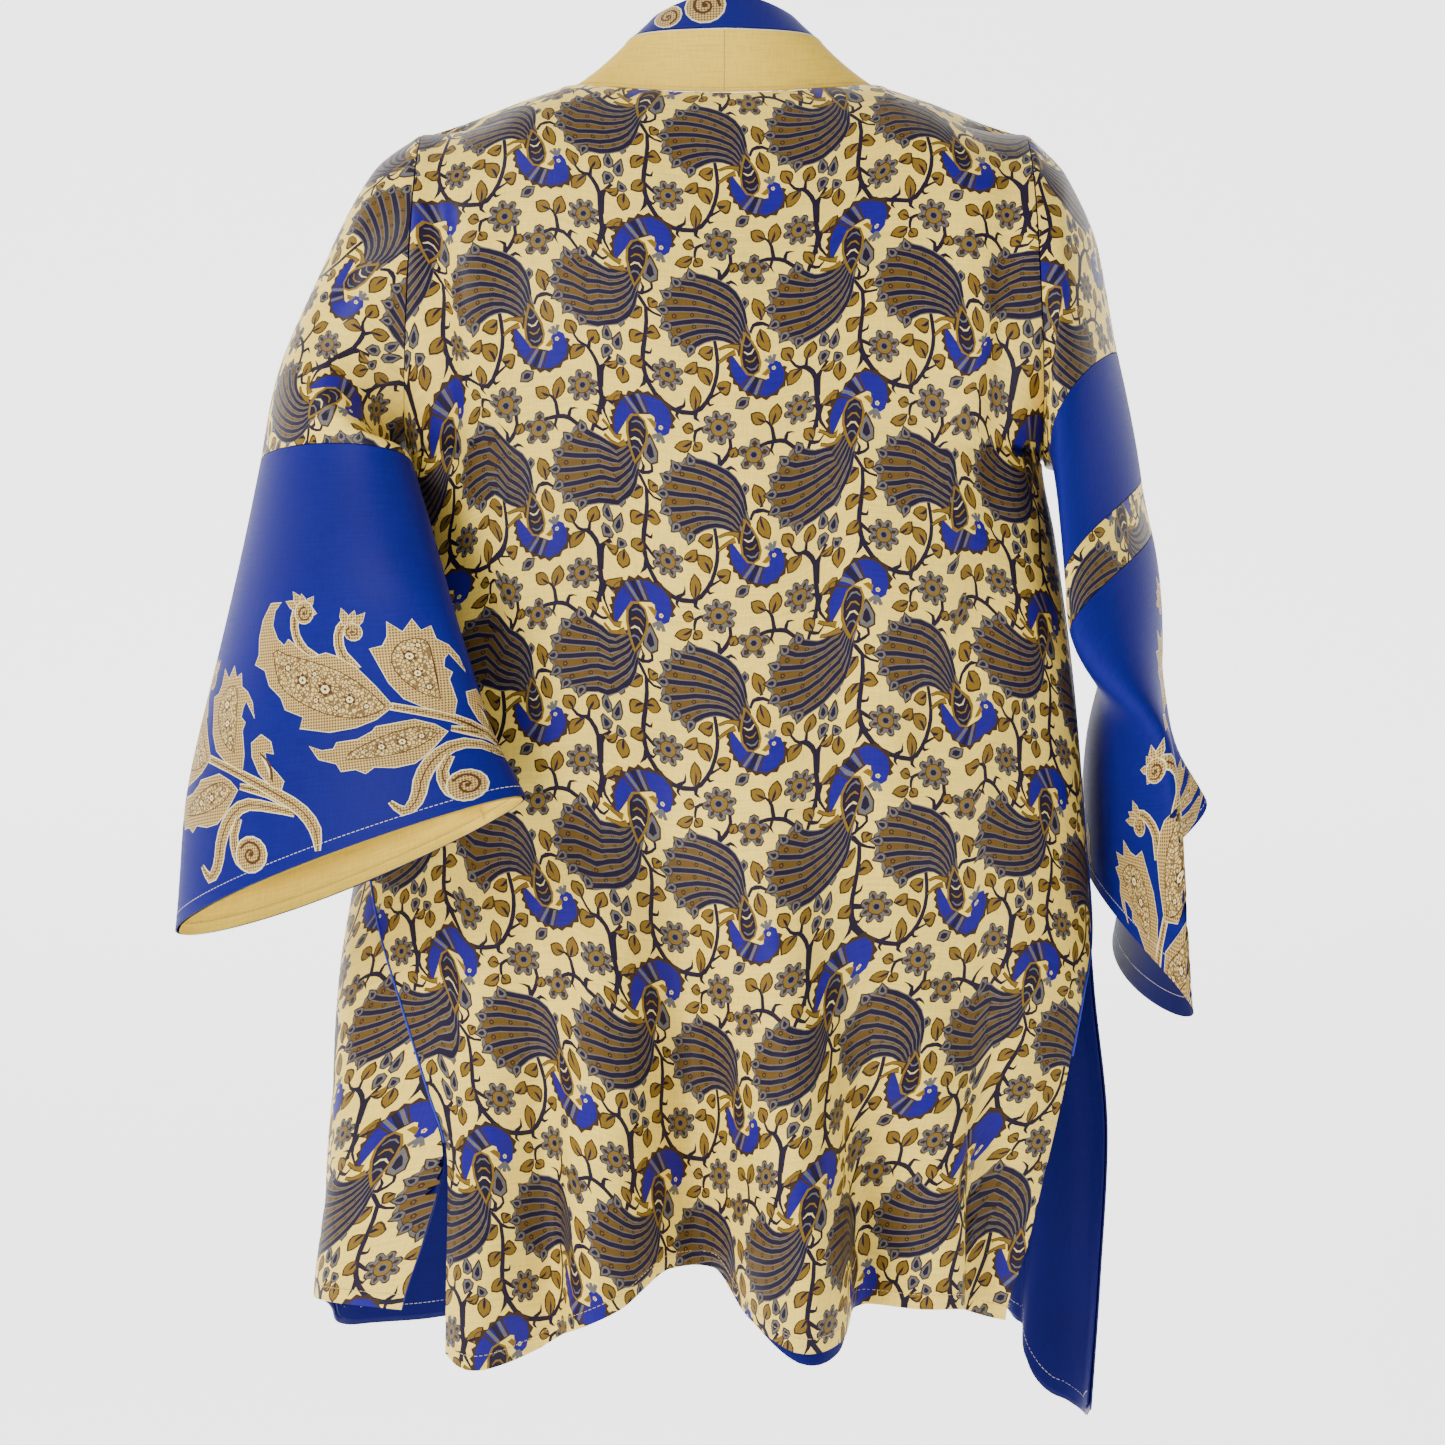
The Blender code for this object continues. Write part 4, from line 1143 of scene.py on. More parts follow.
def leaf_scroll():
    """Gold spray of three toothed leaves and curls, its stem's foot at the origin."""
    spray = Drawing()
    stem = [0j, -1 - 14j, -9 - 27j, -25 - 38j, -44 - 47j, -62 - 53j, -78 - 57j]
    for points, widths in (
            ([-48 - 41j, -36 - 39j, -26 - 36j, -18 - 30j], (2.4, 4.4, 5.0, 3.0)),
            ([-12 - 24j, -26 - 28j, -44 - 30j, -57 - 22j, -65 - 9j, -69 + 6j, -76 + 13j,
              -83 + 6j], (3.4, 5.0, 6.4, 7.6, 7.4, 6.4, 5.4, 1.4)),
            ([-50 - 22j, -55 - 10j, -52 + 2j, -46 + 7j], (3.6, 5.0, 6.4, 6.0)),
            ([-118 - 84j, -127 - 91j, -133 - 101j, -133 - 112j, -127 - 118j],
             (7.0, 5.0, 4.4, 5.6, 7.0)),
            ([-96 - 79j, -103 - 91j, -103 - 103j, -97 - 109j], (8.0, 5.0, 4.4, 6.4)),
            (stem, (2.0, 6.5, 7.0, 6.0, 4.6, 3.6, 3.4))):
        spray.strokes(points, 2 * len(points), ([width + 1.5 for width in widths], PALE),
                      (widths, OCHRE), ((0.5, 0.8, 0.5), BROWN))
    veined_leaf(spray, [
        -77 - 57j, -86 - 70j, -95 - 81j, -105 - 87j, -112 - 89j, -121 - 86j, -127 - 89j,
        -138 - 96j, -141 - 92j, -147 - 96j, -152 - 104j, -151 - 113j, -146 - 118j, -155 - 117j,
        -161 - 107j, -163 - 96j, -162 - 86j, -165 - 80j, -156 - 77j, -152 - 68j, -143 - 61j,
        -140 - 54j, -128 - 50j, -130 - 43j, -112 - 41j, -97 - 44j, -86 - 49j],
        [-81 - 57j, -91 - 68j, -103 - 77j, -120 - 83j, -137 - 86j, -149 - 89j, -147 - 78j,
         -143 - 68j, -130 - 59j, -113 - 52j, -97 - 50j, -86 - 53j],
        ((-128 - 72j, 4.6), (-114 - 67j, 5.2), (-100 - 61j, 4.0), (-138 - 79j, 3.0),
         (-91 - 57j, 2.4), (-120 - 60j, 2.6), (-108 - 56j, 2.4), (-120 - 76j, 2.4)))
    veined_leaf(spray, [
        -46 - 50j, -45 - 60j, -48 - 74j, -46 - 79j, -50 - 82j, -49 - 88j, -46 - 92j, -38 - 82j,
        -41 - 91j, -46 - 97j, -52 - 100j, -54 - 108j, -59 - 105j, -63 - 112j, -68 - 104j,
        -76 - 110j, -76 - 101j, -79 - 95j, -86 - 93j, -82 - 83j, -78 - 72j, -71 - 62j, -61 - 56j],
        [-53 - 61j, -64 - 67j, -73 - 78j, -75 - 88j, -70 - 97j, -61 - 100j, -56 - 97j,
         -55 - 86j, -54 - 75j],
        ((-66 - 89j, 4.2), (-63 - 78j, 3.6), (-58 - 69j, 2.6), (-61 - 96j, 2.2)))
    veined_leaf(spray, [
        -50 - 39j, -56 - 44j, -66 - 48j, -76 - 46j, -86 - 44j, -88 - 41j, -96 - 36j, -108 - 34j,
        -110 - 30j, -117 - 29j, -124 - 32j, -119 - 24j, -109 - 21j, -107 - 16j, -99 - 17j,
        -94 - 14j, -89 - 18j, -78 - 17j, -68 - 19j, -62 - 24j, -56 - 31j],
        [-54 - 39j, -63 - 43j, -74 - 41j, -88 - 35j, -104 - 25j, -94 - 24j, -78 - 26j,
         -64 - 31j],
        ((-84 - 31j, 3.2), (-73 - 34j, 3.6), (-63 - 37j, 2.6), (-94 - 28j, 2.0)))
    spray.lined(np.array([
        -25 - 41j, -33 - 49j, -38 - 59j, -39 - 67j, -32 - 72j, -25 - 68j, -23 - 61j, -29 - 62j,
        -28 - 56j, -21 - 49j, -17 - 44j, -19 - 39j]), OCHRE, PALE, 0.6)
    spray.add(blade(-24 - 43j, -33 - 62j, 4.0, 0.1), BROWN)
    spray.add(blade(-25.5 - 46j, -32 - 60j, 2.0, 0.1, 4), PALE)
    for foot, tips, centre, radius, turn in (
            (-127 - 114j, (-142 - 119j, -137 - 125j, -130 - 124j, -121 - 123j, -118 - 113j),
             -127 - 113j, 6.6, 0.0),
            (-97 - 104j, (-102 - 117j, -94 - 116j, -88 - 115j), -95 - 103j, 5.2, 2.0),
            (0j, (), -43 + 0j, 10.4, 3.6)):
        for tip in tips:
            spray.lined(blade(foot, tip, 5.0, 0.0, 4), OCHRE, PALE, 0.4)
        swirl(spray, centre, radius, turn)
    return spray


def printed_repeat():
    """One repeat of the silk's print: two peacocks among curling, flowering vines."""
    sheet = Drawing()
    stems = (
        ([21 + 38j, 30 + 48j, 30 + 66j, 28 + 82j, 31 + 96j, 39 + 107j, 50 + 112j, 62 + 112j,
          70 + 103j, 74.5 + 92j, 76 + 80j, 74 + 66j], (2.2, 3.4, 3.0, 2.4), 22),
        ([30 + 49j, 35 + 52j, 40 + 53j], (2.4, 1.6, 1.8), 5),
        ([21 + 39j, 28 + 40j, 34 + 36j, 33 + 31j], (2.4, 2.0, 1.6), 7),
        ([29 + 84j, 35 + 89j, 42 + 90j], (2.6, 2.2), 5),
        ([119 + 79j, 125 + 87j, 131 + 89j, 137 + 98j, 138 + 112j, 139 + 124j, 134 + 140j,
          132 + 146j], (1.2, 3.2, 3.4, 2.2), 17),
        ([132 + 80j, 131 + 89j], (1.4, 2.6), 3),
        ([8 + 90j, 3 + 97j, 2 + 112j], (2.4, 2.0, 2.6), 6),
        ([127 + 115j, 138 + 118j], (2.0, 2.6), 3),
        ([96 + 62j, 98 + 57j, 104 + 56j, 110 + 59j], (1.6, 3.0, 1.4), 7),
        ([101 + 46j, 103 + 54j], (1.0, 2.4), 3),
        ([98 + 20j, 103 + 15j, 111 + 14j, 118 + 16j, 125 + 22j], (1.8, 2.6, 3.0, 2.4), 9),
        ([111 + 14j, 109 + 4j, 104 - 1j], (2.8, 2.2, 1.0), 6),
        ([82 + 6j, 83.5 + 15j, 80 + 23j, 76 + 28j], (2.0, 2.8, 2.4), 7),
        ([68 + 3j, 62 + 6j, 61 + 13j], (1.6, 2.4, 1.6), 5),
        ([5 + 0j, 3 + 10j, 9 + 21j], (2.6, 2.2, 1.0), 6),
        ([70 + 103j, 80 + 97j], (2.0, 1.0), 3),
    )
    for points, widths, count in stems:
        sheet.add(stroke(points, widths, count), NAVY)
    hooks = (
        (27 + 41j, 26 + 31j, 2.4, 0.2), (30 + 78j, 34 + 75j, 2.2, 0.4),
        (31 + 95j, 37 + 94j, 2.4, 0.4), (30 + 94j, 26 + 104j, 3.0, -0.1),
        (51 + 112j, 52 + 118j, 2.4, 0.3),
        (50 + 111j, 55 + 103j, 2.6, 0.25), (62 + 112j, 65 + 118j, 3.0, 0.3),
        (69 + 104j, 74 + 106j, 2.4, 0.4), (77 + 27j, 71 + 18j, 2.8, 0.3),
        (79 + 31j, 88 + 31j, 3.0, -0.35), (134 + 22j, 144 + 20j, 2.6, 0.35),
        (138 + 15j, 132 + 9j, 2.6, 0.4), (118 + 15j, 124 + 11j, 2.6, -0.4),
        (110 + 15j, 111 + 23j, 2.2, 0.2), (137 + 100j, 148 + 98j, 3.0, -0.4),
    )
    for base, tip, width, bend in hooks:
        sheet.hook(base, tip, width, bend)
    leaves = (
        (28 + 49j, 20 + 59j, 9, 0.12), (29 + 66j, 20 + 75j, 8, 0.1), (30 + 67j, 40 + 66j, 9, -0.2),
        (28 + 82j, 20 + 90j, 8, -0.1), (38 + 44j, 32 + 49j, 7, 0.2), (71 + 95j, 63 + 83j, 9, 0.1),
        (75 + 95j, 84 + 93j, 9, 0.25), (61 + 112j, 61 + 95j, 7, 0.05),
        (73 + 70j, 63 + 75j, 9, -0.2), (54 + 87j, 63 + 80j, 7, 0.15),
        (103 + 54j, 98 + 39j, 8, 0.05), (102 + 59j, 108 + 75j, 8, 0.06),
        (122 + 83j, 116 + 73j, 8, 0.05), (131 + 84j, 136 + 73j, 8, 0.05),
        (129 + 89j, 119 + 99j, 8, 0.1), (141 + 120j, 152 + 111j, 9, 0.2),
        (109 + 4j, 113 - 10j, 8, 0.05), (106 + 1j, 96 - 5j, 8, -0.05),
        (61 + 6j, 53 + 4j, 7, 0.1), (60 + 12j, 48 + 18j, 7, -0.1), (61 + 13j, 66 + 18j, 7, 0.1),
        (83 + 22j, 87 + 15j, 6, 0.1), (136 + 22j, 130 + 12j, 7, 0.05),
        (3 + 95j, 13 + 91j, 5, 0.25), (16 + 93j, 15 + 106j, 8, 0.0),
        (9 + 118j, 17 + 113j, 6, 0.2),
    )
    for base, tip, width, bend in leaves:
        sheet.leaf(base, tip, width, bend)
    sheet.flower(44 + 90j, 10.8)
    sheet.flower(76.5 + 3j, 11.4, turn=0.2)
    sheet.flower(127 + 115j, 10.6, turn=0.1)
    sheet.flower(98 + 21j, 11.0, petals=5, turn=0.4)
    for centre, length, turn in ((14 + 63j, 9.5, 1.5), (92.5 + 42j, 8.5, 1.5),
                                 (91 + 106j, 12, -0.6)):
        sheet.rosette(centre, length, turn)
    for point, end, width in ((5 + 68j, 6 + 80j, 8), (14 + 70j, 11 + 84j, 8),
                              (3 + 92j, 7 + 82j, 9), (12 + 86j, 16 + 93j, 8),
                              (32.5 + 13j, 33 + 33j, 12.5)):
        sheet.eye(point, end, width)
    tail, bird = peacock_tail(), peacock_body()
    sheet.stamp(tail, 91.5 + 61.5j)
    sheet.stamp(bird, 91.5 + 61.5j)
    sheet.stamp(tail, 159.5 + 34j, 0.0, 1.0)
    sheet.stamp(bird, 158.5 + 36j, 0.0, 1.12 * np.exp(-0.12j))
    return sheet


def inside(outline, places):
    """Which places lie within a closed outline, whichever way it runs."""
    turns = np.zeros(len(places), int)
    ends = np.roll(outline, -1)
    for start, end in zip(outline, ends):
        rising = (start.imag <= places.imag) & (end.imag > places.imag)
        falling = (end.imag <= places.imag) & (start.imag > places.imag)
        side = ((end.real - start.real) * (places.imag - start.imag)
                - (places.real - start.real) * (end.imag - start.imag))
        turns += (rising & (side > 0)).astype(int) - (falling & (side < 0)).astype(int)
    return turns != 0


def boxed(places, low, high):
    """Which places lie in the box between two corners."""
    return ((places.real > low.real) & (places.real < high.real)
            & (places.imag > low.imag) & (places.imag < high.imag))


def triangles_of(spots, edges):
    """Triangles that keep the edges: their places as complex numbers, and their corners."""
    flat = [(float(spot.real), float(spot.imag)) for spot in spots]
    made = delaunay_2d_cdt(flat, edges, [], 0, SAME_POINT, True)
    places = np.array([complex(p[0], p[1]) for p in made[0]])
    return places, np.array([f if len(f) == 3 else f[:3] for f in made[2]])


def straightened(places, edges, width, height):
    """The lines without the points where they hardly turn."""
    links = {}
    for a, b in edges:
        links.setdefault(a, set()).add(b)
        links.setdefault(b, set()).add(a)
    for point in sorted(links):
        spot = places[point]
        edge = min(spot.real, spot.imag, width - spot.real, height - spot.imag)
        if len(links[point]) != 2 or edge < ON_FRAME:
            continue
        a, b = links[point]
        chord = places[b] - places[a]
        away = abs(((spot - places[a]) * np.conj(chord)).imag) / abs(chord)
        if b not in links[a] and away < STRAIGHT:
            links.pop(point)
            links[a] ^= {point, b}
            links[b] ^= {point, a}
    return [(a, b) for a in links for b in links[a] if a < b]


def flat_mesh(drawing, width, height, spacing, repeat):
    """Triangles of a drawing on a rectangle, each with its ink; repeat wraps it round."""
    shapes = [(np.array([0, width, width + 1j * height, 1j * height]), GROUND)]
    for points, ink in drawing.shapes:
        for i in (-1, 0, 1) if repeat else (0,):
            for j in (-1, 0, 1) if repeat else (0,):
                moved = points + complex(i * width, j * height)
                if (moved.real.max() > 0 and moved.real.min() < width
                        and moved.imag.max() > 0 and moved.imag.min() < height):
                    shapes.append((moved, ink))

    def inks_of(places, faces):
        middle = places[faces].mean(axis=1)
        inks = np.full(len(faces), GROUND)
        for points, ink in shapes:
            near = np.flatnonzero(boxed(middle, complex(points.real.min(), points.imag.min()),
                                        complex(points.real.max(), points.imag.max())))
            inks[near[inside(points, middle[near])]] = ink
        return inks

    def within(places, faces):
        return faces[boxed(places[faces].mean(axis=1), 0j, complex(width, height))]

    spots, edges = [], []
    for points, _ in shapes:
        numbers = np.arange(len(spots), len(spots) + len(points)).tolist()
        spots.extend(points)
        edges.extend(zip(numbers, numbers[1:] + numbers[:1]))
    places, faces = triangles_of(spots, edges)
    faces = within(places, faces)
    inks = inks_of(places, faces)
    # Only the lines between two inks are kept, with a grid to carry the cloth's folds.
    pairs = {}
    for face, ink in zip(faces.tolist(), inks.tolist()):
        for a, b in zip(face, face[1:] + face[:1]):
            pairs.setdefault((min(a, b), max(a, b)), []).append(ink)
    edges = [pair for pair, sides in pairs.items() if len(sides) == 1 or sides[0] != sides[1]]
    edges = straightened(places, edges, width, height)
    used = np.unique(np.array(edges))
    number = {old: new for new, old in enumerate(used.tolist())}
    across = np.linspace(0, width, round(width / spacing) + 1)
    down = np.linspace(0, height, round(height / spacing) + 1)
    grid = (across[:, None] + 1j * down[None, :]).ravel()
    places, faces = triangles_of(np.concatenate([places[used], grid]),
                                 [(number[a], number[b]) for a, b in edges])
    faces = within(places, faces)
    inks = inks_of(places, faces)
    if repeat:
        matched(places.real, places.imag, width)
        matched(places.imag, places.real, height)
    return np.column_stack([places.real, places.imag]), faces, inks


def matched(across, along, size):
    """Give the two opposite sides of a repeat the very same points."""
    low = np.flatnonzero(np.abs(across) < ON_FRAME)
    high = np.flatnonzero(np.abs(across - size) < ON_FRAME)
    if len(low) != len(high):
        raise RuntimeError(f"the print's repeat does not close: {len(low)} {len(high)}")
    low, high = low[np.argsort(along[low])], high[np.argsort(along[high])]
    across[low], across[high], along[high] = 0.0, size, along[low]


def tiled(tile, cut, start, turn):
    """The repeat laid over a cut: one repeat's corner at the start, all turned by degrees."""
    places, faces, inks = tile
    width, height = REPEAT_WIDTH * MM, REPEAT_HEIGHT * MM
    start, way = complex(*start), np.exp(1j * math.radians(turn))
    reach = ((cut.across + 1j * cut.down - start) / way).ravel()
    spots, all_faces = [], []
    for i in range(math.floor(reach.real.min() / width), math.ceil(reach.real.max() / width)):
        for j in range(math.floor(reach.imag.min() / height),
                       math.ceil(reach.imag.max() / height)):
            all_faces.append(faces + len(places) * len(spots))
            spots.append(places * MM + (i * width, j * height))
    spots = np.concatenate(spots)
    _, first, which = np.unique(np.round(spots / SAME_SPOT).astype(np.int64), axis=0,
                                return_index=True, return_inverse=True)
    laid = (spots[first, 0] + 1j * spots[first, 1]) * way + start
    return (np.stack([laid.real, laid.imag], axis=1),
            which.ravel()[np.concatenate(all_faces)], np.tile(inks, len(all_faces)))


def figured(cut, drawing, spacing):
    """A drawing, in millimetres of the cut, laid once over it."""
    low = complex(cut.across.min(), cut.down.min()) / MM - FRAME_MARGIN
    size = complex(cut.across.max(), cut.down.max()) / MM + FRAME_MARGIN - low
    moved = Drawing()
    moved.stamp(drawing, -low)
    places, faces, inks = flat_mesh(moved, size.real, size.imag, spacing / MM, False)
    return (places + (low.real, low.imag)) * MM, faces, inks


def on_wires(operation, reflected=False):
    """A Python operator that adds this Math node; reflected, its two values change places."""
    def operator(wire, other):
        return wire.maths(operation, *((other, wire) if reflected else (wire, other)))
    return operator


class Wire:
    """An output socket; Python's operators on it add Math nodes to its tree."""

    def __init__(self, nodes, socket):
        self.nodes, self.socket = nodes, socket

    def maths(self, operation, *values):
        return self.nodes.node("ShaderNodeMath", {"operation": operation},
                               **{str(i): value for i, value in enumerate(values)})

    __add__, __radd__ = on_wires("ADD"), on_wires("ADD", True)
    __sub__, __rsub__ = on_wires("SUBTRACT"), on_wires("SUBTRACT", True)
    __mul__, __rmul__ = on_wires("MULTIPLY"), on_wires("MULTIPLY", True)
    __truediv__, __rtruediv__ = on_wires("DIVIDE"), on_wires("DIVIDE", True)


class Nodes:
    """A node tree under construction: all its nodes are made by one method."""

    def node(self, kind, settings=None, output=0, **values):
        """Any node: its settings first, then its sockets, named or numbered."""
        made = self.tree.nodes.new(kind)
        for key, value in (settings or {}).items():
            if key == "stops":
                self.stops(made.color_ramp, value)
            elif key == "interpolation":
                made.color_ramp.interpolation = value
            else:
                setattr(made, key, value)
        for key, value in values.items():
            if key.isdigit():
                socket = made.inputs[int(key)]
            else:
                socket = next(socket for socket in made.inputs
                              if socket.enabled and socket.name.replace(" ", "_") == key)
            self.join(socket, value)
        if isinstance(output, int):
            return Wire(self, [socket for socket in made.outputs if socket.enabled][output])
        return Wire(self, made.outputs[output])

    def join(self, socket, value):
        """Link or set one socket."""
        if isinstance(value, Wire):
            self.tree.links.new(value.socket, socket)
        else:
            socket.default_value = value

    @staticmethod
    def stops(ramp, stops):
        """Give a ramp its stops, each a place and a colour."""
        while len(ramp.elements) > 1:
            ramp.elements.remove(ramp.elements[-1])
        for i, (place, colour) in enumerate(stops):
            element = ramp.elements[0] if i == 0 else ramp.elements.new(place)
            element.position = place
            element.color = (*colour[:3], 1.0)


class Shader(Nodes):
    """A cloth material under construction."""

    def __init__(self, name):
        self.material = bpy.data.materials.new(name)
        self.material.use_nodes = True
        self.tree = self.material.node_tree
        self.surface = self.tree.nodes["Principled BSDF"]

    def mix(self, blend, factor, first, second):
        """Two colours blended."""
        return self.node("ShaderNodeMix", {"data_type": "RGBA", "blend_type": blend},
                         Factor=factor, A=first, B=second)

    def lit(self, colour, light):
        """A colour made lighter or darker."""
        grey = self.node("ShaderNodeCombineColor", Red=light, Green=light, Blue=light)
        return self.mix("MULTIPLY", 1.0, colour, grey)

    def scaled(self, vector, scale):
        """A vector times another."""
        return self.node("ShaderNodeVectorMath", {"operation": "MULTIPLY"},
                         **{"0": vector, "1": scale})

    def noise(self, vector, detail, scale=1.0):
        """Soft noise between 0 and 1."""
        return self.node("ShaderNodeTexNoise", Vector=vector, Scale=scale, Detail=detail)

    def filigree(self, colour, cut, ink, palette):
        """Brown lattice on the motifs' borders and fine scrolls in their hearts."""
        across = self.node("ShaderNodeSeparateXYZ", output="X", Vector=cut)
        down = self.node("ShaderNodeSeparateXYZ", output="Y", Vector=cut)
        first = (across + down) * LATTICE_TURNS
        second = (across - down) * LATTICE_TURNS
        dots = first.maths("SINE", first) * second.maths("SINE", second)
        lattice = dots.maths("GREATER_THAN", dots, LATTICE_OPEN)
        border = lattice * ink.maths("COMPARE", ink, OCHRE, SAME_INK)
        cells = self.node("ShaderNodeTexVoronoi", {"feature": "DISTANCE_TO_EDGE"},
                          output="Distance", Vector=cut, Scale=SCROLL_SCALE)
        scrolls = cells.maths("LESS_THAN", cells, SCROLL_LINE)
        heart = scrolls * ink.maths("COMPARE", ink, GREY, SAME_INK)
        brown = (*palette[BROWN][:3], 1.0)
        drawn = border.maths("MAXIMUM", border, heart) * FILIGREE_STRENGTH
        return self.mix("MIX", drawn, colour, brown)

    def finish(self, **values):
        """Set or link the surface's own sockets."""
        for key, value in values.items():
            self.join(self.surface.inputs[key.replace("_", " ")], value)
        return self.material


# Threads and crepe of the cloth, in waves to a metre of the cut: across, down.
SLUB_SCALE = (45.0, 620.0, 0.0)
THREAD_SCALE = (900.0, 90.0, 0.0)
CREPE_SCALE = (1500.0, 1500.0, 0.0)
CLOUD_SCALE = 9.0
GRAIN_DEPTH = 0.00025

# Filling of the leaf sprays: waves of the lattice and of the scrolls to a metre, where
# each is drawn, how near an ink's number has to be, and how strong the filling is.
LATTICE_TURNS = 1600.0
LATTICE_OPEN = 0.10
SCROLL_SCALE = 420.0
SCROLL_LINE = 0.13
SAME_INK = 0.25
FILIGREE_STRENGTH = 0.85

# How much of the cloth's light, height and roughness each of these noises makes.
LEAST_LIGHT = 0.55
SLUB_LIGHT = 0.42
THREAD_LIGHT = 0.30
CLOUD_LIGHT = 0.28
CREPE_SHADE = 0.10
SLUB_HEIGHT = 0.5
THREAD_HEIGHT = 0.35
CREPE_HEIGHT = 0.5
SLUB_ROUGHNESS = 0.14


def colour(name, description, default):
    """A colour that the user can change."""
    return FloatVectorProperty(name=name, description=description, default=default,
                               subtype="COLOR")


class RobeSizes(PropertyGroup):
    """Sizes that the robe's pieces share."""

    thickness: FloatProperty(name="Cloth thickness", description="Thickness of each layer",
                             default=0.0011, min=0.0005, max=0.003, unit="LENGTH")
    spacing: FloatProperty(name="Mesh spacing", description="Side of the plain cloth's squares",
                           default=0.006, min=0.002, max=0.03, unit="LENGTH")


class RobeColours(PropertyGroup):
    """Colours of the cloth and its print."""

    ground: colour("Ground", "Pale ground of the print", (0.90, 0.64, 0.11))
    ochre: colour("Ochre", "Ochre of leaves and feathers", (0.195, 0.110, 0.013))
    umber: colour("Umber", "Dull ochre of the tails' bands", (0.118, 0.064, 0.012))
    brown: colour("Brown", "Brown of the print's outlines", (0.042, 0.022, 0.011))
    navy: colour("Navy", "Navy of stems and feathers", (0.014, 0.009, 0.024))
    royal: colour("Royal blue", "Blue of the peacocks' necks", (0.015, 0.006, 0.19))
    grey: colour("Grey blue", "Grey blue of petals and feathers", (0.112, 0.104, 0.100))
    pale: colour("Pale", "Palest ink, cream", (0.72, 0.56, 0.20))
    blue: colour("Blue crepe", "Blue of sleeves and neck strip", (0.009, 0.009, 0.155))
    inside: colour("Inside", "Wrong side of the blue crepe", (0.006, 0.007, 0.075))
    gold: colour("Motif", "Beige of the leaf sprays' borders", (0.56, 0.38, 0.13))
    gold_light: colour("Motif heart", "Beige of the leaves' hearts", (0.70, 0.51, 0.19))
    gold_pale: colour("Motif edge", "Pale line round the sprays", (0.82, 0.70, 0.36))
    line: colour("Motif line", "Brown lines of the sprays", (0.085, 0.036, 0.014))
    lining: colour("Lining", "Blue of the lining", (0.006, 0.006, 0.100))
    thread: colour("Hem thread", "Pale thread of the hems", (0.62, 0.58, 0.50))
    cream: colour("Cream silk", "Neck band and cuff facing", (0.80, 0.53, 0.060))


class RobeStage(PropertyGroup):
    """The studio round the robe."""

    backdrop: colour("Backdrop", "Colour of floor and backdrop", (0.90, 0.90, 0.90))
    glow: FloatProperty(name="Backdrop glow", description="Light of the backdrop itself",
                        default=1.9, min=0.0)
    key_power: FloatProperty(name="Key light", description="Power of the main softbox",
                             default=100.0, min=0.0, unit="POWER")


# Colours of each cloth's inks, in their order.
PRINT_INKS = ("ground", "ochre", "brown", "navy", "royal", "grey", "pale", "umber", "lining")
BLUE_INKS = ("blue", "gold", "line", "navy", "royal", "gold_light", "gold_pale", "gold",
             "inside")
LINING_INKS = ("lining",) * INKS
CREAM_INKS = ("cream",) * INKS


def cloth_material(name, inks, roughness, grain, gloss=0.05, filigree=False):
    """Dyed and printed cloth: each face takes its ink's colour, thrown threads show across it."""
    shader = Shader(name)
    ink = shader.node("ShaderNodeAttribute", {"attribute_name": "ink"}, output="Fac")
    cut = shader.node("ShaderNodeAttribute", {"attribute_name": "cut"}, output="Vector")
    palette = [getattr(bpy.context.scene.robe_colours, key) for key in inks]
    stops = [(i / INKS, colour) for i, colour in enumerate(palette)]
    colour = shader.node("ShaderNodeValToRGB", {"interpolation": "CONSTANT", "stops": stops},
                         Fac=(ink + 0.5) / INKS)
    if filigree:
        colour = shader.filigree(colour, cut, ink, palette)
    slubs = shader.noise(shader.scaled(cut, SLUB_SCALE), 2.0)
    threads = shader.noise(shader.scaled(cut, THREAD_SCALE), 1.0)
    crepe = shader.noise(shader.scaled(cut, CREPE_SCALE), 3.0)
    cloud = shader.noise(shader.node("ShaderNodeTexCoord", output="Object"), 2.0, CLOUD_SCALE)
    light = (LEAST_LIGHT + SLUB_LIGHT * slubs + THREAD_LIGHT * threads + CLOUD_LIGHT * cloud
             - CREPE_SHADE * crepe)
    colour = shader.lit(colour, light)
    height = SLUB_HEIGHT * slubs + THREAD_HEIGHT * threads + CREPE_HEIGHT * crepe
    bump = shader.node("ShaderNodeBump", Height=height, Strength=grain, Distance=GRAIN_DEPTH)
    return shader.finish(Base_Color=colour, Roughness=roughness + SLUB_ROUGHNESS * slubs,
                         Normal=bump, Specular_IOR_Level=gloss)


def dress(piece, material, node):
    """Give a finished piece its cloth and its body, and hide the solid that it replaces."""
    piece.data.materials.append(material)
    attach(piece, "root")
    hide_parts(node)


def facing_out(cut):
    """1 where the cut's across and down directions already turn outwards, else -1."""
    us = np.linspace(*cut.u_range, 25)
    vs = np.linspace(*cut.v_range, 9)[1:-1]
    u, v = (grid.ravel() for grid in np.meshgrid(us, vs))
    points, normals = lay(cut.point, 1.0, np.stack([u, v], axis=1))
    rows = points.reshape(len(vs), len(us), 3)
    middle = np.repeat(rows.mean(axis=1), len(us), axis=0)
    return 1.0 if (normals * (points - middle)).sum() > 0 else -1.0


# Linings: where down each panel they begin, how far and where the back's peeks out under
# its hem, and how far the other hems stop short.
LINING_FIRST_BACK = 0.50
LINING_FIRST_FRONT = 0.45
LINING_LETS_DOWN = 0.93
LINING_PEEK = 0.012
PEEK_PLACE = 0.24
PEEK_SPREAD = 0.20
HEM_TURN = 0.004


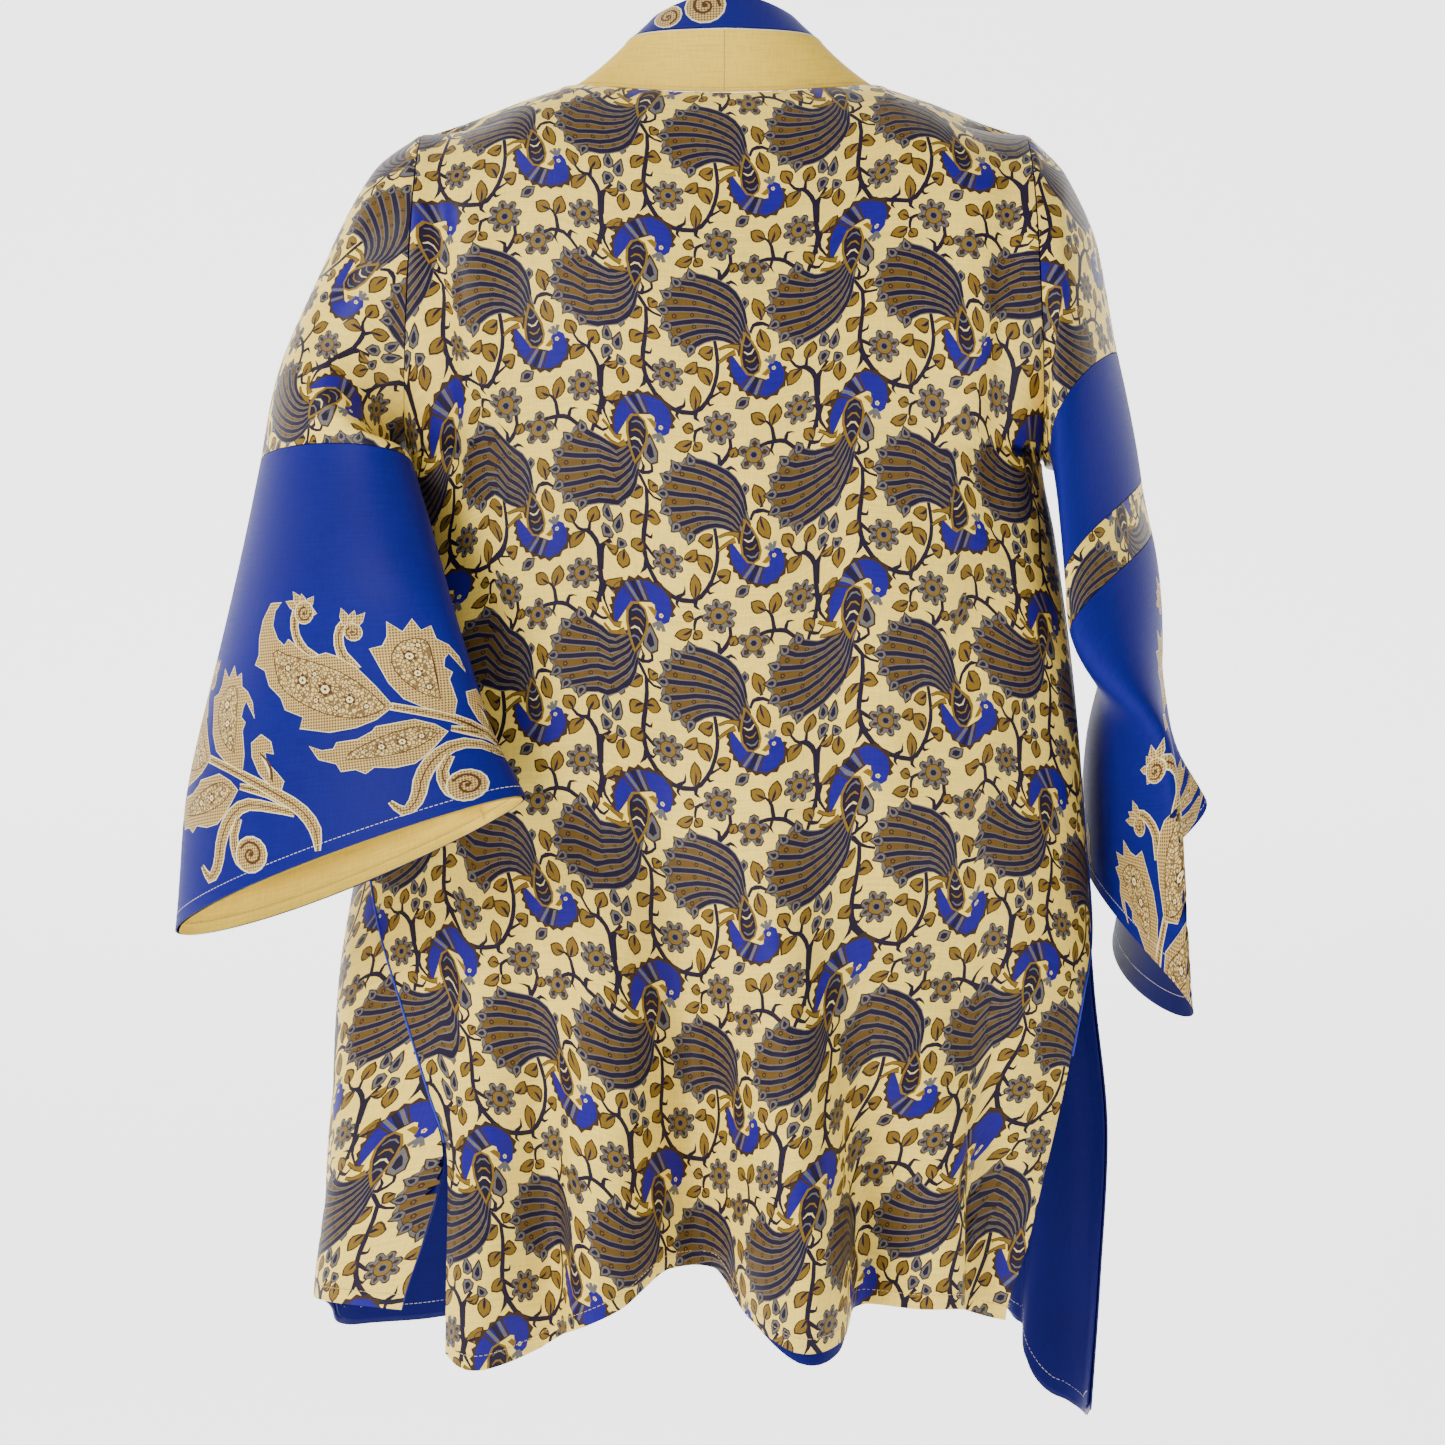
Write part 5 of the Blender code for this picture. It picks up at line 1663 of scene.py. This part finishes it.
def lining_of(point, facing, hang):
    """The panel's inner layer: its form moved inwards, its hem let down by hang(u)."""
    def lined(u, v):
        places = np.stack([np.ravel(u), np.ravel(v)], axis=1)
        points, normals = lay(point, facing, places)
        points = points - normals * LINING_GAP
        points[:, 2] -= hang(places[:, 0]) * step(LINING_LETS_DOWN, 1.0, places[:, 1])
        return points.reshape(*np.shape(u), 3)
    return lined


def sizes():
    """The robe's shared sizes."""
    return bpy.context.scene.robe_sizes


# The print's one tile, once it is drawn, and the cut and facing of each piece made.
TILES = []
PANELS = {}


def print_on(start_across, start_down, turn):
    """The silk's print over a cut, drawn once and used for every piece."""
    def pattern(cut):
        if not TILES:
            TILES.append(flat_mesh(printed_repeat(), REPEAT_WIDTH, REPEAT_HEIGHT, GRID, True))
        return tiled(TILES[0], cut, (start_across, start_down), turn)
    return pattern


def sprays_on(places, plain_part, mirrored_part, along_edge):
    """Leaf sprays on a blue cut; each foot's place across is met by one down the cut."""
    def pattern(cut):
        spray, drawing = leaf_scroll(), Drawing()
        for across, down in places:
            if along_edge:
                down += float(np.interp(across, cut.across[-1], cut.down[-1]))
            drawing.stamp(spray, complex(across, down) / MM, plain_part, mirrored_part)
        return figured(cut, drawing, sizes().spacing)
    return pattern


def curls_on(curls):
    """Round curls on a blue cut: place across and down, radius in millimetres."""
    def pattern(cut):
        drawing = Drawing()
        for across, down, radius in curls:
            swirl(drawing, complex(across, down) / MM, radius, across / MM)
        return figured(cut, drawing, sizes().spacing)
    return pattern


def make_panel(name, cut, material, pattern=None):
    """One piece of cloth on its cut."""
    facing = facing_out(cut)
    woven = pattern(cut) if pattern else plain(cut, sizes().spacing)
    piece = cloth(name + "_cloth", cut, facing, woven, sizes().thickness)
    dress(piece, material, name)
    PANELS[name] = cut, facing
    return facing


class ROBE_OT_body(Operator):
    """Make the back and the two fronts with their linings"""
    bl_idname = "robe.body"
    bl_label = "Body panels"

    def execute(self, context):
        printed = cloth_material("printed_silk", PRINT_INKS, roughness=0.36, grain=0.6,
                                 gloss=0.13)
        lining = cloth_material("blue_lining", LINING_INKS, roughness=0.50, grain=0.5)

        def back_hang(u):
            return LINING_PEEK * np.exp(-((u - PEEK_PLACE) / PEEK_SPREAD) ** 2) - HEM_TURN

        def front_hang(u):
            return 0.0 * u - HEM_TURN

        back_cut = BodyCut(back, (-1.0, 1.0), None, back_span, back_ends, BACK_FOLDS)
        panels = [("back", back_cut, LINING_FIRST_BACK, back_hang)]
        for side, name in ((LEFT, "left_front"), (RIGHT, "right_front")):
            front_cut = BodyCut(lambda u, v, side=side: front(side, u, v), (0.0, 1.0), side,
                                front_span, front_ends, FRONT_FOLDS)
            panels.append((name, front_cut, LINING_FIRST_FRONT, front_hang))
        for name, cut, first, hang in panels:
            facing = make_panel(name, cut, printed,
                                print_on(*PRINT_STARTS[name]))
            lined = FlatCut(lining_of(cut.point, facing, hang), cut.u_range, (first, 1.0))
            make_panel(name + "_lining", lined, lining)
        return {"FINISHED"}


SEAM_HALF = 0.0006
SEAM_OPEN = 0.0004
ARMHOLE_TURN = -0.01
ARMHOLE_INSET = 0.0003
FACING_START = 0.8

# Where one repeat of the print begins on each printed piece: across, down, degrees.
PRINT_STARTS = {
    "back": (-0.0796, 0.0109, 0.0),
    "left_front": (0.0, 0.0, 0.0),
    "right_front": (0.0, 0.0, 0.0),
    "left_sleeve_top": (0.0526, 0.0, 40.0),
    "right_sleeve_top": (-0.1016, 0.0727, -27.0),
    "right_sleeve_strip": (0.0, 0.0, 0.0),
}

EASED = ("left_sleeve_top", "right_sleeve_top", "right_sleeve_strip")

# Feet of the leaf sprays on the two cuffs: across, down.
LEFT_SPRAYS = ((0.2607, -0.004), (0.1087, -0.004), (-0.0433, -0.004), (-0.1953, -0.004))
LEFT_SPRAY_SHAPE = (1.143 + 0.061j, 0.074 + 0.061j)
RIGHT_SPRAYS = ((0.0408, 0.3085), (-0.0595, 0.1975), (-0.16, 0.0865), (0.21, 0.290),
                (-0.21, 0.290))
RIGHT_SPRAY_SHAPE = (1.14 * np.exp(0.838j), 0.0)
NECK_CURLS = ((-0.039, 0.012, 10.0), (-0.0127, 0.017, 13.0))


def sleeve_form(rings, side):
    """Form of a sleeve; before its start it turns in to the armhole's edge."""
    def form(turn, t):
        point = sleeve(rings, turn, np.maximum(t, ARMHOLE_START))
        share = step(ARMHOLE_START, ARMHOLE_TURN, t)
        edge = side * (armhole(point[..., 2])[0] + ARMHOLE_INSET)
        point[..., 0] += (edge - point[..., 0]) * share
        return point
    return form


class ROBE_OT_sleeves(Operator):
    """Make the pieces of both sleeves"""
    bl_idname = "robe.sleeves"
    bl_label = "Sleeves"

    def execute(self, context):
        printed = bpy.data.materials["printed_silk"]
        blue = cloth_material("blue_crepe", BLUE_INKS, roughness=0.42, grain=0.7,
                              filigree=True)
        cream = cloth_material("cream_facing", CREAM_INKS, roughness=0.50, grain=0.6)
        left_sprays = sprays_on(LEFT_SPRAYS, *LEFT_SPRAY_SHAPE, True)
        right_sprays = sprays_on(RIGHT_SPRAYS, *RIGHT_SPRAY_SHAPE, False)
        rows = (
            ("left_sleeve_top", LEFT, ARMHOLE_TURN, LEFT_SEAM, printed, None),
            ("left_sleeve_cuff", LEFT, LEFT_SEAM, 1.0, blue, left_sprays),
            ("right_sleeve_top", RIGHT, ARMHOLE_TURN, RIGHT_SEAMS[0], printed, None),
            ("right_sleeve_band", RIGHT, RIGHT_SEAMS[0], RIGHT_SEAMS[1], blue, None),
            ("right_sleeve_strip", RIGHT, RIGHT_SEAMS[1], RIGHT_SEAMS[2], printed, None),
            ("right_sleeve_cuff", RIGHT, RIGHT_SEAMS[2], 1.0, blue, right_sprays),
        )
        around = (-1 + SEAM_OPEN, 1 - SEAM_OPEN)
        for name, side, first, last, material, pattern in rows:
            form = sleeve_form(LEFT_SLEEVE if side == LEFT else RIGHT_SLEEVE, side)
            start = first + (SEAM_HALF if first > ARMHOLE_START else 0.0)
            end = last - (SEAM_HALF if last < 1.0 else 0.0)
            if name in PRINT_STARTS:
                pattern = print_on(*PRINT_STARTS[name])
            kind = EasedCut if name in EASED else FlatCut
            facing = make_panel(name, kind(form, around, (start, end)), material,
                                pattern)
            if name == "left_sleeve_cuff":
                lined = lining_of(form, facing, lambda u: 0.0 * u)
                facing_start = first + (last - first) * FACING_START
                make_panel("left_cuff_facing", FlatCut(lined, around, (facing_start, end)),
                           cream)
        return {"FINISHED"}


class ROBE_OT_neck(Operator):
    """Make the neck band and the strip above it"""
    bl_idname = "robe.neck"
    bl_label = "Neck band"

    def execute(self, context):
        cream = cloth_material("cream_silk", CREAM_INKS, roughness=0.46, grain=0.6)
        make_panel("neck_band", FlatCut(band, (-BAND_END, BAND_END), (0.0, 1.0)), cream)
        make_panel("neck_top_strip", FlatCut(top_strip, (-STRIP_END, STRIP_END), (0.0, 1.0)),
                   bpy.data.materials["blue_crepe"], curls_on(NECK_CURLS))
        return {"FINISHED"}


class Tree(Nodes):
    """A Geometry Nodes tree for what follows a path, its float inputs named."""

    def __init__(self, name, *floats):
        self.tree = bpy.data.node_groups.new(name, "GeometryNodeTree")
        self.named = {}
        for key, kind in (("Geometry", "NodeSocketGeometry"),
                          *((key, "NodeSocketFloat") for key in floats),
                          ("Material", "NodeSocketMaterial")):
            self.named[key] = self.tree.interface.new_socket(key, in_out="INPUT",
                                                             socket_type=kind)
        self.tree.interface.new_socket("Geometry", in_out="OUTPUT",
                                       socket_type="NodeSocketGeometry")
        given = self.tree.nodes.new("NodeGroupInput").outputs
        self.given = {key: Wire(self, given[key]) for key in self.named}
        self.result = self.tree.nodes.new("NodeGroupOutput").inputs["Geometry"]

    def along(self, spacing):
        """Points along the path, this far apart."""
        return self.node("GeometryNodeResampleCurve", {"mode": "LENGTH"},
                         Curve=self.given["Geometry"], Length=spacing)

    def tube(self, line, sides):
        """A closed tube of the tree's radius along a line."""
        circle = self.node("GeometryNodeCurvePrimitiveCircle", Resolution=sides,
                           Radius=self.given["Radius"])
        return self.node("GeometryNodeCurveToMesh", Curve=line, Profile_Curve=circle,
                         Fill_Caps=True)

    def finish(self, mesh):
        """Make instances real, give the material and end the tree."""
        real = self.node("GeometryNodeRealizeInstances", Geometry=mesh)
        self.join(self.result, self.node("GeometryNodeSetMaterial", Geometry=real,
                                         Material=self.given["Material"]))
        return self

    def apply(self, name, lines, values, slot_name):
        """Run the tree along lines of points and keep its plain mesh as a piece."""
        data = bpy.data.curves.new(name + "_path", "CURVE")
        data.dimensions = "3D"
        for line in lines:
            spline = data.splines.new("POLY")
            spline.points.add(len(line) - 1)
            spline.points.foreach_set("co", np.c_[line, np.ones(len(line))].ravel())
        path = placed(name + "_path", data)
        modifier = path.modifiers.new("nodes", "NODES")
        modifier.node_group = self.tree
        for key, value in values.items():
            modifier[self.named[key].identifier] = value
        ready = path.evaluated_get(bpy.context.evaluated_depsgraph_get())
        mesh = bpy.data.meshes.new_from_object(ready)
        path.modifiers.remove(modifier)
        bpy.data.objects.remove(path)
        mesh.name = name
        mesh.shade_smooth()
        piece = placed(name, mesh)
        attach(piece, "root")


def stitch_tree():
    """Short threads along each line."""
    tree = Tree("stitches", "Pitch", "Length", "Radius")
    points = tree.along(tree.given["Pitch"])
    end = tree.node("ShaderNodeCombineXYZ", Z=tree.given["Length"])
    thread = tree.tube(tree.node("GeometryNodeCurvePrimitiveLine", End=end), THREAD_SIDES)
    way = tree.node("FunctionNodeAlignRotationToVector", {"axis": "Z"},
                    Vector=tree.node("GeometryNodeInputTangent"))
    return tree.finish(tree.node("GeometryNodeInstanceOnPoints", Points=points, Instance=thread,
                                 Rotation=way))


def piping_tree():
    """A round cord along each line."""
    tree = Tree("piping", "Spacing", "Radius")
    return tree.finish(tree.tube(tree.along(tree.given["Spacing"]), PIPING_SIDES))


def on_cloth(name, places, height, outside=True):
    """Points at a height over a piece's outer or inner face."""
    cut, facing = PANELS[name]
    points, normals = lay(cut.point, facing, places)
    reach = sizes().thickness / 2 + height
    return points + normals * (reach if outside else -reach)


def plain_thread(name, colour):
    """Twisted thread: its colour varies a little along it."""
    shader = Shader(name)
    place = shader.node("ShaderNodeTexCoord", output="Object")
    light = THREAD_DARKEST + THREAD_SPREAD * shader.noise(place, 2.0, THREAD_SPOTS)
    return shader.finish(Base_Color=shader.lit((*colour[:3], 1.0), light),
                         Roughness=THREAD_ROUGHNESS)


# Hem stitches: piece, how far inside its hem, whether on the outer side of the cloth.
PALE_HEMS = (
    ("left_sleeve_cuff", 0.008, True),
    ("right_sleeve_cuff", 0.010, False),
    ("right_sleeve_cuff", 0.010, True),
    ("back_lining", 0.006, False),
    ("left_front_lining", 0.008, False),
    ("right_front_lining", 0.008, False),
)
GOLD_HEMS = (
    ("back", 0.009, True),
    ("left_front", 0.009, True),
    ("right_front", 0.009, True),
    ("left_cuff_facing", 0.006, False),
)
STITCH_PITCH = 0.0032
STITCH_LENGTH = 0.0021
THREAD_RADIUS = 0.00022
THREAD_SIDES = 5
THREAD_ABOVE = 0.4
THREAD_SPOTS = 900.0
THREAD_DARKEST = 0.75
THREAD_SPREAD = 0.5
THREAD_ROUGHNESS = 0.55
PIPING_RADIUS = 0.0007
PIPING_SIDES = 8
PIPING_DROP = 0.004
PIPING_SPACING = 0.004
PIPING_END = {LEFT: -0.690, RIGHT: -0.640}
SIDE_STEPS = 400
SIDE_START = 0.25
SEAM_LINE = 0.0003
EDGE_LINE = 0.00045
NAPE_STEPS = 24
NAPE_MARGIN = 0.02
NECK_STEPS = 700
NECK_STITCHES = 0.06


class ROBE_OT_stitches(Operator):
    """Make the hem stitches, the side seams' piping and the neck band's seam"""
    bl_idname = "robe.stitches"
    bl_label = "Stitches and piping"

    def execute(self, context):
        colours = context.scene.robe_colours
        pale = plain_thread("pale_thread", colours.thread)
        gold = plain_thread("gold_thread", colours.gold)
        thread = {"Pitch": STITCH_PITCH, "Length": STITCH_LENGTH, "Radius": THREAD_RADIUS}
        tree = stitch_tree()
        for name, material, hems in (("pale_stitches", pale, PALE_HEMS),
                                     ("gold_stitches", gold, GOLD_HEMS)):
            lines = [on_cloth(piece, PANELS[piece][0].hem(inset), THREAD_RADIUS * THREAD_ABOVE,
                              outside)
                     for piece, inset, outside in hems]
            tree.apply(name, lines, {**thread, "Material": material}, "cream_cloth")
        cut, facing = PANELS["back"]
        seams = []
        for side in (LEFT, RIGHT):
            places = np.stack([np.full(SIDE_STEPS, float(side)),
                               np.linspace(SIDE_START, 1.0, SIDE_STEPS)], axis=1)
            points = lay(cut.point, facing, places)[0]
            kept = ((points[:, 2] < -ARMHOLE_BOTTOM - PIPING_DROP)
                    & (points[:, 2] > PIPING_END[side]))
            points = points[kept]
            points[:, 0] += side * SEAM_GAP
            seams.append(points)
        share = np.linspace(-BAND_END, BAND_END, NECK_STEPS)[2:-2]
        down = np.linspace(NAPE_MARGIN, 1 - NAPE_MARGIN, NAPE_STEPS)
        middle, top, foot = (
            [on_cloth("neck_band", np.stack([around, across], axis=1), 0.0)]
            for around, across in ((0 * down, down), (share, 0 * share + 1.0),
                                   (share, 0 * share + NECK_STITCHES)))
        piping = piping_tree()
        for name, lines, radius, material, slot_name in (
                ("side_piping", seams, PIPING_RADIUS, bpy.data.materials["blue_lining"],
                 "blue_lining"),
                ("neck_seam", middle, SEAM_LINE, gold, "cream_cloth"),
                ("neck_edge", top, EDGE_LINE, pale, "cream_cloth")):
            piping.apply(name, lines, {"Spacing": PIPING_SPACING, "Radius": radius,
                                       "Material": material}, slot_name)
        tree.apply("neck_stitches", foot, {**thread, "Material": gold}, "cream_cloth")
        return {"FINISHED"}


CAMERA_PLACE = (-0.001, -1.81, -0.423)
CAMERA_LENS = 67.25
ROBE_MIDDLE = (0.0, 0.0, -0.40)
ROOM_LIGHT = 0.22

# Softboxes: name, place, share of the key light's power, size.
SOFTBOXES = (
    ("key", (-1.9, -1.9, 1.1), 1.0, 1.2),
    ("fill", (2.4, -2.2, 0.0), 0.14, 2.0),
    ("top", (0.0, 0.3, 2.2), 0.2, 2.0),
)

# Floor that sweeps up into the backdrop.
FLOOR_FRONT = -6.0
FLOOR_LEVEL = -1.40
SWEEP_START = 1.2
SWEEP_ROUND = 0.9
SWEEP_STEPS = 12
SWEEP_TOP = 3.5
SWEEP_HALF = 5.0


def area_light(name, place, power, size):
    """A softbox that looks at the middle of the robe."""
    data = bpy.data.lights.new(name, "AREA")
    data.energy, data.shape, data.size = power, "SQUARE", size
    light = placed(name, data)
    light.location = place
    way = Vector(ROBE_MIDDLE) - Vector(place)
    light.rotation_euler = way.to_track_quat("-Z", "Y").to_euler()


class ROBE_OT_stage(Operator):
    """Set up the pale sweep, the softboxes and the camera"""
    bl_idname = "robe.stage"
    bl_label = "Studio"

    def execute(self, context):
        settings = context.scene.robe_stage
        profile = [(FLOOR_FRONT, FLOOR_LEVEL), (SWEEP_START, FLOOR_LEVEL)]
        for i in range(1, SWEEP_STEPS + 1):
            angle = math.pi / 2 * i / SWEEP_STEPS
            profile.append((SWEEP_START + SWEEP_ROUND * math.sin(angle),
                            FLOOR_LEVEL + SWEEP_ROUND * (1 - math.cos(angle))))
        profile.append((SWEEP_START + SWEEP_ROUND, SWEEP_TOP))
        points = [(x, y, z) for y, z in profile for x in (-SWEEP_HALF, SWEEP_HALF)]
        faces = [(2 * i, 2 * i + 1, 2 * i + 3, 2 * i + 2) for i in range(len(profile) - 1)]
        mesh = bpy.data.meshes.new("sweep")
        mesh.from_pydata(points, [], faces)
        mesh.shade_smooth()
        shader = Shader("pale_paper")
        mesh.materials.append(shader.finish(Base_Color=(*settings.backdrop[:3], 1.0),
                                            Roughness=0.9,
                                            Emission_Color=(1.0, 1.0, 1.0, 1.0),
                                            Emission_Strength=settings.glow))
        placed("sweep", mesh)
        for name, place, share, size in SOFTBOXES:
            area_light(name, place, settings.key_power * share, size)
        world = bpy.data.worlds.new("soft_room")
        world.use_nodes = True
        sky = world.node_tree.nodes["Background"].inputs
        sky["Color"].default_value, sky["Strength"].default_value = (1, 1, 1, 1), ROOM_LIGHT
        context.scene.world = world
        data = bpy.data.cameras.new("camera")
        data.sensor_width, data.lens = 36.0, CAMERA_LENS
        camera = placed("camera", data)
        camera.location = CAMERA_PLACE
        camera.rotation_euler = (math.pi / 2, 0.0, 0.0)
        context.scene.camera = camera
        return {"FINISHED"}


OPERATORS = (ROBE_OT_body, ROBE_OT_sleeves, ROBE_OT_neck, ROBE_OT_stitches, ROBE_OT_stage)


class ROBE_PT_panel(Panel):
    """Lists the steps that dress the robe"""
    bl_idname = "ROBE_PT_panel"
    bl_label = "Kimono robe"
    bl_space_type = "VIEW_3D"
    bl_region_type = "UI"
    bl_category = "Robe"

    def draw(self, context):
        scene = context.scene
        for group in (scene.robe_sizes, scene.robe_colours, scene.robe_stage):
            for key in group.__annotations__:
                self.layout.prop(group, key)
        for operator in OPERATORS:
            self.layout.operator(operator.bl_idname)


CLASSES = (RobeSizes, RobeColours, RobeStage) + OPERATORS + (ROBE_PT_panel,)
GROUPS = {"robe_sizes": RobeSizes, "robe_colours": RobeColours, "robe_stage": RobeStage}


def register():
    for kind in CLASSES:
        bpy.utils.register_class(kind)
    for name, kind in GROUPS.items():
        setattr(bpy.types.Scene, name, PointerProperty(type=kind))


def unregister():
    for name in GROUPS:
        delattr(bpy.types.Scene, name)
    for kind in reversed(CLASSES):
        bpy.utils.unregister_class(kind)


def main():
    """Dress the robe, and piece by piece."""
    register()
    for operator in OPERATORS:
        group, name = operator.bl_idname.split(".")
        getattr(getattr(bpy.ops, group), name)()


if __name__ == "__main__":
    main()
